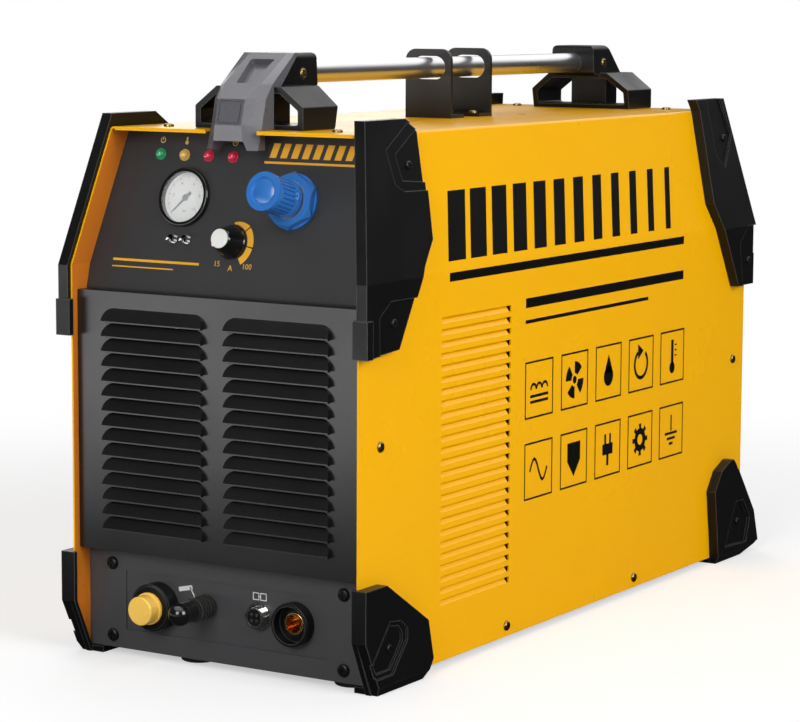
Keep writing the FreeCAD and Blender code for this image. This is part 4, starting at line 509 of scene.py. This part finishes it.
@dataclass
class Print:
    """Screen-printed marks of one ink on one plane, drawn as thin raised faces.

    Attributes:
        name: name of the object.
        plane: where the marks lie.
        ink: their finish.
        lift_mm: height of the ink over the surface.
    """

    name: str
    plane: Plane
    ink: Finish
    lift_mm: float = 0.08

    def __post_init__(self) -> None:
        """Opens the mesh that the marks are gathered in."""
        self.mesh = bmesh.new()

    def shape(self, outline: Outline) -> None:
        """Adds one filled outline.

        Args:
            outline: corners in order, in millimetres.
        """
        corners = [self.mesh.verts.new((u * MM, v * MM, 0)) for u, v in outline]
        self.mesh.faces.new(corners)

    def bar(self, u0: float, u1: float, v0: float, v1: float, slant: float = 0.0) -> None:
        """Adds a bar, whose upper edge is moved right by the slant.

        Args:
            u0: left edge.
            u1: right edge.
            v0: lower edge.
            v1: upper edge.
            slant: shift of the upper edge.
        """
        self.shape([(u0, v0), (u1, v0), (u1 + slant, v1), (u0 + slant, v1)])

    def arc(self, centre: tuple[float, float], inner: float, outer: float, start: float = 0.0,
            end: float = 360.0) -> None:
        """Adds a band along an arc; angles are clockwise from straight up.

        Args:
            centre: middle of the arc.
            inner: inner radius.
            outer: outer radius.
            start: first angle in degrees.
            end: last angle in degrees.
        """
        count = max(2, int(abs(end - start) / 6))
        for i in range(count):
            a = math.radians(start + (end - start) * i / count)
            b = math.radians(start + (end - start) * (i + 1) / count)
            ring = [(inner, a), (outer, a), (outer, b), (inner, b)]
            self.shape([(centre[0] + r * math.sin(t), centre[1] + r * math.cos(t)) for r, t in ring])

    def stroke(self, points: Outline, width: float) -> None:
        """Adds a line of even width through the points.

        Args:
            points: where the line goes, in millimetres.
            width: width of the line.
        """
        for start, end in zip(points, points[1:]):
            run = (Vector(end) - Vector(start)).normalized()
            side = Vector((-run.y, run.x)) * width / 2
            ahead = run * width * 0.3
            first, last = Vector(start) - ahead, Vector(end) + ahead
            self.shape([tuple(first - side), tuple(last - side), tuple(last + side), tuple(first + side)])

    def frame_box(self, u: float, v: float, size: float, width: float) -> None:
        """Adds a square outline.

        Args:
            u: left edge.
            v: lower edge.
            size: side length.
            width: width of the line.
        """
        self.bar(u, u + size, v, v + width)
        self.bar(u, u + size, v + size - width, v + size)
        self.bar(u, u + width, v + width, v + size - width)
        self.bar(u + size - width, u + size, v + width, v + size - width)

    def lettering(self, words: str, u: float, v: float, height: float) -> None:
        """Adds figures or letters, centred on a point.

        Args:
            words: what to write.
            u: middle of the writing.
            v: middle of the writing.
            height: height of a capital.
        """
        curve = bpy.data.curves.new(self.name + "_letters", "FONT")
        curve.body = words
        curve.size = height * 1.4 * MM
        curve.align_x = "CENTER"
        curve.align_y = "CENTER"
        curve.resolution_u = 3
        holder = bpy.data.objects.new(self.name + "_letters", curve)
        bpy.context.scene.collection.objects.link(holder)
        bpy.context.view_layer.update()
        flat = bpy.data.meshes.new_from_object(holder)
        flat.transform(Matrix.Translation((u * MM, v * MM, 0)))
        self.mesh.from_mesh(flat)
        bpy.data.objects.remove(holder)
        bpy.data.curves.remove(curve)
        bpy.data.meshes.remove(flat)

    def finish(self) -> bpy.types.Object:
        """Places the marks and lets them ride on the case.

        Returns:
            The printed object.
        """
        data = bpy.data.meshes.new(self.name)
        bmesh.ops.recalc_face_normals(self.mesh, faces=self.mesh.faces)
        for face in self.mesh.faces:
            if face.normal.z < 0:
                face.normal_flip()
        self.mesh.to_mesh(data)
        self.mesh.free()
        data.transform(self.plane.placement(self.lift_mm))
        piece = bpy.data.objects.new(self.name, data)
        bpy.context.scene.collection.objects.link(piece)
        piece.data.materials.append(self.ink.build())
        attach(piece, CASE)
        return piece


@dataclass
class ControlMarks:
    """Marks on the control panel: current scale, lamp signs and two plain trim stripes.

    Attributes:
        knob: place of the current knob on the panel.
        band_inner: inner radius of the golden band.
        band_step_deg: angle of one of its steps.
        band_widths: its width at the start, and how much it gains over ten steps.
        lamps: places of the lamps across the panel.
        sign_v: height of the lamps' signs on the panel.
        lines_left: left end of the two trim lines.
    """

    knob: tuple[float, float] = (0.5, 42.3)
    band_inner: float = 14.4
    band_step_deg: float = 4.93
    band_widths: tuple[float, float] = (1.2, 4.4)
    lamps: tuple[float, ...] = (-79.6, -56.3, -33.0, -9.7)
    sign_v: float = 120.9
    lines_left: float = -112.0

    def build(self) -> list[bpy.types.Object]:
        """Draws the marks.

        Returns:
            The printed objects.
        """
        return [self.scale(), self.scale_ticks(), self.figures(), self.signs(), self.stripes()]

    def scale(self) -> bpy.types.Object:
        """Golden band on the right of the knob, wider towards its end.

        Returns:
            The printed object.
        """
        marks = Print("current_scale_band", CONTROL_PLANE, ORANGE_INK)
        first, gain = self.band_widths
        for i in range(30):
            start = i * self.band_step_deg
            outer = self.band_inner + first + gain * min(1.0, (i + 1) / 10)
            marks.arc(self.knob, self.band_inner, outer, start, start + self.band_step_deg)
        return marks.finish()

    def scale_ticks(self) -> bpy.types.Object:
        """Dark ticks across the golden band.

        Returns:
            The printed object.
        """
        marks = Print("current_scale_ticks", CONTROL_PLANE, BLACK_INK, 0.14)
        outer = self.band_inner + sum(self.band_widths) + 0.4
        for angle in (50, 100):
            marks.arc(self.knob, self.band_inner - 0.2, outer, angle - 1.6, angle + 1.6)
        return marks.finish()

    def figures(self) -> bpy.types.Object:
        """Lowest and highest current and the letter of the unit.

        Returns:
            The printed object.
        """
        marks = Print("current_scale_figures", CONTROL_PLANE, ORANGE_INK)
        u, v = self.knob
        marks.lettering("15", u - 11.5, v - 17.5, 4.4)
        marks.lettering("A", u + 1.5, v - 20.5, 4.8)
        marks.lettering("100", u + 17.0, v - 18.5, 4.4)
        return marks.finish()

    def signs(self) -> bpy.types.Object:
        """Plain signs over the lamps: mains, heat, gas pressure and standstill.

        Returns:
            The printed object.
        """
        marks = Print("lamp_signs", CONTROL_PLANE, CREAM_INK)
        top = self.sign_v
        mains, heat, gas, fault = self.lamps
        marks.arc((mains, top), 1.7, 2.5, 35, 325)
        marks.bar(mains - 0.4, mains + 0.4, top, top + 3.0)
        marks.bar(heat - 0.7, heat + 0.7, top - 1.0, top + 3.0)
        marks.arc((heat, top - 1.4), 0.0, 1.6)
        marks.arc((gas, top), 1.9, 2.7, -120, 120)
        marks.stroke([(gas, top), (gas + 1.4, top + 1.4)], 0.7)
        marks.arc((fault, top), 2.0, 2.8)
        marks.bar(fault - 1.5, fault + 1.5, top - 0.5, top + 0.5)
        return marks.finish()

    def stripes(self) -> bpy.types.Object:
        """Plain trim: a row of leaning bars at the upper right and two lines at the lower left.

        Returns:
            The printed object.
        """
        marks = Print("control_trim", CONTROL_PLANE, ORANGE_INK)
        for i in range(8):
            left = 24.0 + i * 10.0
            marks.bar(left, left + 6.2, 110.0, 121.5, 3.0)
        marks.bar(20.0, 106.0, 105.4, 107.2)
        marks.bar(self.lines_left, self.lines_left + 84.0, 22.5, 24.5)
        marks.bar(self.lines_left, self.lines_left + 60.0, 17.5, 18.5)
        return marks.finish()


@dataclass
class GaugeMarks:
    """Printed scale of the pressure gauge.

    Attributes:
        centre: middle of the gauge on the panel.
        face_lift: height of the dial over the panel.
        first_deg: angle of the zero, clockwise from straight up.
        sweep_deg: angle from zero to full scale.
        tick_end: radius at which the ticks end.
        long_tick: length of a tick with a figure.
        short_tick: length of the others.
        figure_radius: radius on which the figures stand.
    """

    centre: tuple[float, float] = (-50.3, 75.6)
    face_lift: float = -1.14
    first_deg: float = 225.0
    sweep_deg: float = 270.0
    tick_end: float = 18.0
    long_tick: float = 2.6
    short_tick: float = 1.4
    figure_radius: float = 12.6

    def build(self) -> list[bpy.types.Object]:
        """Draws ticks, figures and the working band.

        Returns:
            The printed objects.
        """
        ticks = Print("gauge_scale_ticks", CONTROL_PLANE, GREY_INK, self.face_lift)
        for i in range(51):
            angle = self.first_deg + self.sweep_deg * i / 50
            length, half = (self.long_tick, 0.8) if i % 5 == 0 else (self.short_tick, 0.4)
            ticks.arc(self.centre, self.tick_end - length, self.tick_end, angle - half, angle + half)
        figures = Print("gauge_scale_figures", CONTROL_PLANE, GREY_INK, self.face_lift)
        for i in range(6):
            angle = math.radians(self.first_deg + self.sweep_deg * i / 5)
            figures.lettering(str(2 * i), self.centre[0] + self.figure_radius * math.sin(angle),
                              self.centre[1] + self.figure_radius * math.cos(angle), 2.6)
        figures.lettering("bar", self.centre[0], self.centre[1] - 10.4, 2.2)
        band = Print("gauge_working_band", CONTROL_PLANE, WHITE_INK, self.face_lift - 0.02)
        inner = self.tick_end + 0.2
        band.arc(self.centre, inner, inner + 1.0, self.first_deg + 108, self.first_deg + 189)
        return [ticks.finish(), figures.finish(), band.finish()]


@dataclass
class FramedSign:
    """One framed sign, drawn in shares of its frame's size from the middle of the frame.

    Attributes:
        marks: print that gathers the shapes.
        u: middle of the frame across.
        v: middle of the frame upwards.
        size: size of the frame.
    """

    marks: Print
    u: float
    v: float
    size: float

    def point(self, across: float, up: float) -> tuple[float, float]:
        """Place on the plane of a point given in shares."""
        return (self.u + self.size * across, self.v + self.size * up)

    def bar(self, left: float, right: float, low: float, high: float) -> None:
        """Adds a bar between its four edges."""
        (u0, v0), (u1, v1) = self.point(left, low), self.point(right, high)
        self.marks.bar(u0, u1, v0, v1)

    def arc(self, up: float, inner: float, outer: float, start: float = 0.0, end: float = 360.0,
            across: float = 0.0) -> None:
        """Adds a band along an arc; angles are clockwise from straight up."""
        self.marks.arc(self.point(across, up), self.size * inner, self.size * outer, start, end)

    def shape(self, outline: Outline) -> None:
        """Adds one filled outline."""
        self.marks.shape([self.point(across, up) for across, up in outline])

    def frame(self) -> None:
        """Draws the frame."""
        self.marks.frame_box(self.u - self.size / 2, self.v - self.size / 2, self.size, 1.6)

    def coil(self) -> None:
        """Winding drawn as three bows over two core lines."""
        for shift in (-0.2, 0.0, 0.2):
            self.arc(0.0, 0.07, 0.12, -90, 90, shift)
        self.bar(-0.32, 0.32, -0.14, -0.09)
        self.bar(-0.32, 0.32, -0.24, -0.19)

    def fan(self) -> None:
        """Four fan blades round a hub."""
        for turn in (0, 90, 180, 270):
            self.arc(0.0, 0.12, 0.33, turn, turn + 52)
        self.arc(0.0, 0.0, 0.07)

    def drop(self) -> None:
        """Drop of water."""
        self.arc(-0.08, 0.0, 0.18)
        self.shape([(-0.1674, -0.02), (0.1674, -0.02), (0.0, 0.32)])

    def arrow_loop(self) -> None:
        """Arrow that goes round in a loop."""
        self.arc(0.0, 0.22, 0.29, 40, 330)
        tip = 0.255
        self.shape([(-tip * 0.5, tip * 1.5), (-tip * 0.5, tip * 0.35), (tip * 0.35, tip * 0.95)])

    def thermometer(self) -> None:
        """Thermometer with three marks of its scale."""
        self.bar(-0.05, 0.05, -0.16, 0.32)
        self.arc(-0.21, 0.0, 0.11)
        for level in (0.0, 0.1, 0.2):
            self.bar(0.1, 0.18, level, level + 0.03)

    def wave(self) -> None:
        """One period of a wave."""
        points = [(-0.3 + 0.05 * i, 0.2 * math.sin(math.pi * i / 6)) for i in range(13)]
        self.marks.stroke([self.point(across, up) for across, up in points], self.size * 0.05)

    def shield(self) -> None:
        """Plain shield with a pointed foot."""
        self.shape([(-0.24, 0.3), (-0.24, -0.03), (0.0, -0.315), (0.24, -0.03), (0.24, 0.3)])

    def plug(self) -> None:
        """Mains plug with two pins and its cable."""
        self.bar(-0.2, 0.2, -0.1, 0.1)
        self.bar(-0.13, -0.06, 0.1, 0.28)
        self.bar(0.06, 0.13, 0.1, 0.28)
        self.bar(-0.04, 0.04, -0.3, -0.1)

    def gear(self) -> None:
        """Gear wheel with eight teeth."""
        self.arc(0.0, 0.1, 0.22)
        for i in range(8):
            self.arc(0.0, 0.215, 0.3, i * 45 - 10, i * 45 + 10)

    def ground(self) -> None:
        """Three level bars under a stem."""
        self.bar(-0.025, 0.025, 0.0, 0.3)
        for i, half in enumerate((0.26, 0.17, 0.08)):
            level = -0.02 - 0.1 * i
            self.bar(-half, half, level - 0.05, level)


# The signs in reading order, five to a row.
SIGNS: tuple[Callable[[FramedSign], None], ...] = (
    FramedSign.coil, FramedSign.fan, FramedSign.drop, FramedSign.arrow_loop, FramedSign.thermometer,
    FramedSign.wave, FramedSign.shield, FramedSign.plug, FramedSign.gear, FramedSign.ground)
SIGNS_IN_ROW = 5


@dataclass
class SideMarks:
    """Black print on the side sheets: leaning stripes, a long bar, two lines and two rows of signs.

    Attributes:
        front: distance of the print from the front edge.
        rear: distance of its far end.
        stripes: number of leaning stripes.
        clear_of_louvres: how much shorter the lines are than the long bar, to stay off the louvres.
        frame_mm: size of a sign's frame.
        gap_mm: space between frames.
        sign_z: height of the lower edge of the upper row of frames.
    """

    front: float = 131.0
    rear: float = 545.0
    stripes: int = 12
    clear_of_louvres: float = 122.0
    frame_mm: float = 48.0
    gap_mm: float = 14.0
    sign_z: float = 182.0

    def build(self) -> list[bpy.types.Object]:
        """Prints both sides.

        Returns:
            The printed objects.
        """
        made = []
        for side, label in ((1, "right"), (-1, "left")):
            made.append(self.leaning_stripes(side, label))
            made.append(self.bar_and_signs(side, label))
        return made

    def start(self, side: int) -> float:
        """First measure at which the print starts on a side."""
        return self.front if side > 0 else CASE_DEPTH - self.rear

    def leaning_stripes(self, side: int, label: str) -> bpy.types.Object:
        """Leaning stripes of falling width on the upper sheet.

        Args:
            side: 1 for right, -1 for left.
            label: word for the object's name.

        Returns:
            The printed object.
        """
        marks = Print("side_stripes_" + label, side_plane(side, True), BLACK_INK)
        step = (self.rear - self.front) / self.stripes
        for i in range(self.stripes):
            left = self.start(side) + step * i
            marks.bar(left, left + step * (0.78 - 0.045 * i), 7.0, 62.0, 14.0)
        return marks.finish()

    def bar_and_signs(self, side: int, label: str) -> bpy.types.Object:
        """Long bar, two plain lines and two rows of framed signs on the upright sheet.

        Args:
            side: 1 for right, -1 for left.
            label: word for the object's name.

        Returns:
            The printed object.
        """
        marks = Print("side_signs_" + label, side_plane(side, False), BLACK_INK)
        left = self.start(side)
        span = self.rear - self.front
        marks.bar(left, left + span, 307.0, 314.0)
        if side > 0:
            left += self.clear_of_louvres
        right = left + span - self.clear_of_louvres
        marks.bar(left, right, 275.0, 283.0)
        marks.bar(left, right - 70.0, 262.0, 265.0)
        step = self.frame_mm + self.gap_mm
        for i, draw in enumerate(SIGNS):
            row, place = divmod(i, SIGNS_IN_ROW)
            sign = FramedSign(marks, left + place * step + self.frame_mm / 2,
                              self.sign_z - row * (step + 6.0) + self.frame_mm / 2, self.frame_mm)
            sign.frame()
            draw(sign)
        return marks.finish()


@dataclass
class SocketMarks:
    """Signs on the lower panel: two frames joined by a lead, and a torch on its lead.

    Attributes:
        u: middle of the frames' sign across the panel.
        v: its height.
        frame_mm: size of one frame.
        torch: line of the torch's handle.
        lead: line of its lead.
    """

    u: float = 32.0
    v: float = 64.0
    frame_mm: float = 6.0
    torch: Outline = ((-45.0, 61.0), (-34.0, 63.5))
    lead: Outline = ((-35.0, 63.4), (-31.0, 57.0), (-30.6, 51.0))

    def build(self) -> list[bpy.types.Object]:
        """Draws both signs.

        Returns:
            The printed objects.
        """
        marks = Print("trigger_socket_sign", SOCKET_PLANE, WHITE_INK)
        gap = 0.5
        low = self.v - self.frame_mm / 2
        marks.frame_box(self.u - gap - self.frame_mm, low, self.frame_mm, 0.7)
        marks.frame_box(self.u + gap, low, self.frame_mm, 0.7)
        marks.bar(self.u - gap, self.u + gap, self.v - 0.4, self.v + 0.4)
        torch = Print("torch_socket_sign", SOCKET_PLANE, WHITE_INK)
        torch.stroke(self.torch, 3.6)
        torch.stroke(self.lead, 1.2)
        return [marks.finish(), torch.finish()]


@dataclass(frozen=True)
class Softbox:
    """One square lamp.

    Attributes:
        name: name of the lamp.
        place: where it hangs, in metres.
        target: what it points at, in metres.
        size: side of the softbox in metres.
        power: its power in watts.
    """

    name: str
    place: tuple[float, float, float]
    target: tuple[float, float, float]
    size: float
    power: float

    def hang(self) -> None:
        """Hangs the lamp and points it."""
        data = bpy.data.lights.new(self.name, "AREA")
        data.shape = "SQUARE"
        data.size = self.size
        data.energy = self.power
        holder = bpy.data.objects.new(self.name, data)
        holder.location = self.place
        aim = Vector(self.target) - Vector(self.place)
        holder.rotation_euler = aim.to_track_quat("-Z", "Y").to_euler()
        bpy.context.scene.collection.objects.link(holder)


@dataclass(frozen=True)
class SkyPanel:
    """A bright part of the world that only reflections show.

    Attributes:
        aim: direction of its middle.
        rim: cosine of the angle from its middle at which it starts.
        full: cosine of the angle at which it is as bright as it gets.
        strength: how bright that is.
    """

    aim: tuple[float, float, float]
    rim: float
    full: float
    strength: float


@dataclass
class Studio:
    """Pale floor, soft lamps and the camera of the photograph.

    Attributes:
        camera_mm: place of the camera in the row frame.
        azimuth_deg: turn of the view to the left of +Y.
        elevation_deg: how far it looks down.
        roll_deg: turn about its own axis.
        lens_mm: focal length on a 36 mm wide film.
        floor_half_m: half the side of the floor.
        floor_lift: light that the camera alone sees on the floor, so that its shadow stays pale.
        floor_fade_m: distances between which the floor turns to plain white for the camera.
        pool_aim: direction on the floor in which reflections find it bright.
        pool_m: distances along it between which it grows bright.
        pool_strength: how bright it is in reflections, near and far.
        fill: strength of the world's plain light.
        sky_gloom: strength of the world in reflections, away from its panels.
        sky: a panel high behind the unit and one overhead, for the tube and the moulded bevels.
        softboxes: the lamps.
    """

    camera_mm: tuple[float, float, float] = (1233.7, -2042.1, 525.0)
    azimuth_deg: float = 31.9
    elevation_deg: float = 7.47
    roll_deg: float = 0.27
    lens_mm: float = 123.75
    floor_half_m: float = 60.0
    floor_lift: float = 0.50
    floor_fade_m: tuple[float, float] = (0.45, 1.3)
    pool_aim: tuple[float, float, float] = (-0.53, -0.85, 0.0)
    pool_m: tuple[float, float] = (0.8, 1.6)
    pool_strength: tuple[float, float] = (0.03, 2.9)
    fill: float = 0.22
    sky_gloom: float = 0.07
    sky: tuple[SkyPanel, ...] = (SkyPanel((0.0, 0.8, 0.6), 0.80, 0.97, 1.4),
                                 SkyPanel((0.0, 0.0, 1.0), 0.62, 0.88, 2.0))
    softboxes: tuple[Softbox, ...] = (
        Softbox("key_softbox", (3.0, -0.9, 1.5), (0.0, 0.0, 0.2), 1.6, 72.0),
        Softbox("front_softbox", (0.4, -3.1, 1.5), (0.0, -0.2, 0.3), 1.4, 48.0),
        Softbox("top_softbox", (-0.4, 0.4, 2.6), (0.0, 0.0, 0.4), 1.6, 8.0),
        Softbox("rear_softbox", (-1.9, 2.0, 1.3), (0.0, 0.1, 0.2), 1.4, 15.0))

    def build(self) -> None:
        """Sets up the whole studio."""
        self.camera()
        self.floor()
        self.world()
        for box in self.softboxes:
            box.hang()

    def camera(self) -> None:
        """Places the camera as it was solved from the photograph's edges."""
        az, el, roll = (math.radians(a) for a in (self.azimuth_deg, self.elevation_deg, self.roll_deg))
        ahead = Vector((-math.sin(az) * math.cos(el), math.cos(az) * math.cos(el), -math.sin(el)))
        right = Vector((math.cos(az), math.sin(az), 0.0))
        up = right.cross(ahead)
        level, plumb = right, up
        right = level * math.cos(roll) + plumb * math.sin(roll)
        up = plumb * math.cos(roll) - level * math.sin(roll)
        data = bpy.data.cameras.new("photo_camera")
        data.lens = self.lens_mm
        data.sensor_width = 36.0
        data.clip_end = 100.0
        holder = bpy.data.objects.new("photo_camera", data)
        placed = Matrix((right, up, -ahead)).transposed().to_4x4()
        placed.translation = Vector(self.camera_mm) * MM
        holder.matrix_world = placed
        bpy.context.scene.collection.objects.link(holder)
        bpy.context.scene.camera = holder

    def floor(self) -> None:
        """Lays a wide floor that keeps the shadow and meets the background without an edge."""
        mesh = bmesh.new()
        bmesh.ops.create_grid(mesh, x_segments=4, y_segments=4, size=self.floor_half_m)
        data = bpy.data.meshes.new("studio_floor")
        mesh.to_mesh(data)
        mesh.free()
        piece = bpy.data.objects.new("studio_floor", data)
        bpy.context.scene.collection.objects.link(piece)
        data.materials.append(self.paper())

    def paper(self) -> bpy.types.Material:
        """Makes the floor's paper.

        Returns:
            The material.
        """
        # Seamless paper, matte: a clean white sheet with soft shadows. Its fibre is drawn at about 1 mm.
        material = bpy.data.materials.new("paper_seamless_matte")
        material.use_nodes = True
        tree = material.node_tree
        tree.nodes.clear()
        place = add_node(tree, "ShaderNodeTexCoord")
        fibre = add_node(tree, "ShaderNodeTexNoise", {"Scale": 900.0, "Detail": 2.0},
                         {"Vector": place.outputs["Object"]})
        bump = add_node(tree, "ShaderNodeBump", {"Strength": 0.2, "Distance": 0.1 * MM},
                        {"Height": fibre.outputs["Fac"]})
        sheet = add_node(tree, "ShaderNodeBsdfDiffuse", {"Color": (0.62, 0.62, 0.62, 1.0)},
                         {"Normal": bump.outputs["Normal"]})
        path = add_node(tree, "ShaderNodeLightPath")
        lift = add_node(tree, "ShaderNodeMath", {"operation": "MULTIPLY", 1: self.floor_lift},
                        {0: path.outputs["Is Camera Ray"]})
        bright = add_node(tree, "ShaderNodeEmission", {"Color": WHITE}, {"Strength": lift.outputs["Value"]})
        near = add_node(tree, "ShaderNodeAddShader", None,
                        {0: sheet.outputs["BSDF"], 1: bright.outputs["Emission"]})
        reach = add_node(tree, "ShaderNodeVectorMath", {"operation": "LENGTH"},
                         {0: place.outputs["Object"]})
        fade = add_node(tree, "ShaderNodeMapRange",
                        {"interpolation_type": "SMOOTHSTEP", "From Min": self.floor_fade_m[0],
                         "From Max": self.floor_fade_m[1]}, {"Value": reach.outputs["Value"]})
        seen = add_node(tree, "ShaderNodeMath", {"operation": "MULTIPLY"},
                        {0: fade.outputs["Result"], 1: path.outputs["Is Camera Ray"]})
        white = add_node(tree, "ShaderNodeEmission", {"Color": WHITE, "Strength": 1.0})
        both = add_node(tree, "ShaderNodeMixShader", None,
                        {0: seen.outputs["Value"], 1: near.outputs["Shader"], 2: white.outputs["Emission"]})
        along = add_node(tree, "ShaderNodeVectorMath", {"operation": "DOT_PRODUCT", 1: self.pool_aim},
                         {0: place.outputs["Object"]})
        pool = add_node(tree, "ShaderNodeMapRange",
                        {"interpolation_type": "SMOOTHSTEP", "From Min": self.pool_m[0],
                         "From Max": self.pool_m[1], "To Min": self.pool_strength[0],
                         "To Max": self.pool_strength[1]}, {"Value": along.outputs["Value"]})
        sheen = add_node(tree, "ShaderNodeEmission", {"Color": WHITE}, {"Strength": pool.outputs["Result"]})
        whole = add_node(tree, "ShaderNodeMixShader", None,
                         {0: path.outputs["Is Glossy Ray"], 1: both.outputs["Shader"],
                          2: sheen.outputs["Emission"]})
        add_node(tree, "ShaderNodeOutputMaterial", None, {"Surface": whole.outputs["Shader"]})
        return material

    def world(self) -> None:
        """Sets dim light all round that is white to the camera and has bright panels in reflections."""
        world = bpy.data.worlds.new("studio_world")
        world.use_nodes = True
        tree = world.node_tree
        tree.nodes.clear()
        path = add_node(tree, "ShaderNodeLightPath")
        seen = add_node(tree, "ShaderNodeMath", {"operation": "MAXIMUM"},
                        {0: path.outputs["Is Camera Ray"], 1: path.outputs["Is Transmission Ray"]})
        place = add_node(tree, "ShaderNodeTexCoord")
        panels = {}
        for i, panel in enumerate(self.sky):
            facing = add_node(tree, "ShaderNodeVectorMath", {"operation": "DOT_PRODUCT", 1: panel.aim},
                              {0: place.outputs["Generated"]})
            glow = add_node(tree, "ShaderNodeMapRange",
                            {"interpolation_type": "SMOOTHSTEP", "From Min": panel.rim,
                             "From Max": panel.full, "To Min": self.sky_gloom, "To Max": panel.strength},
                            {"Value": facing.outputs["Value"]})
            panels[i] = glow.outputs["Result"]
        brighter = add_node(tree, "ShaderNodeMath", {"operation": "MAXIMUM"}, panels)
        dim = add_node(tree, "ShaderNodeMix", {2: self.fill},
                       {0: path.outputs["Is Glossy Ray"], 3: brighter.outputs["Value"]})
        strength = add_node(tree, "ShaderNodeMix", {3: 1.0}, {0: seen.outputs["Value"], 2: dim.outputs[0]})
        back = add_node(tree, "ShaderNodeBackground", {"Color": WHITE}, {"Strength": strength.outputs[0]})
        add_node(tree, "ShaderNodeOutputWorld", None, {"Surface": back.outputs["Background"]})
        bpy.context.scene.world = world


def main() -> None:
    """Builds the studio, the finishes and the marks."""
    logging.basicConfig(level=logging.INFO, format="%(message)s")
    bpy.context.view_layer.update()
    bpy.context.scene.view_settings.view_transform = "Standard"
    Studio().build()
    LOG.info("studio ready")
    LOG.info("%d nodes dressed", FrameDresser().dress())
    for maker in (ControlMarks(), GaugeMarks(), SideMarks(), SocketMarks()):
        for piece in maker.build():
            LOG.info("built %s", piece.name)
    bpy.context.view_layer.update()


if __name__ == "__main__":
    main()
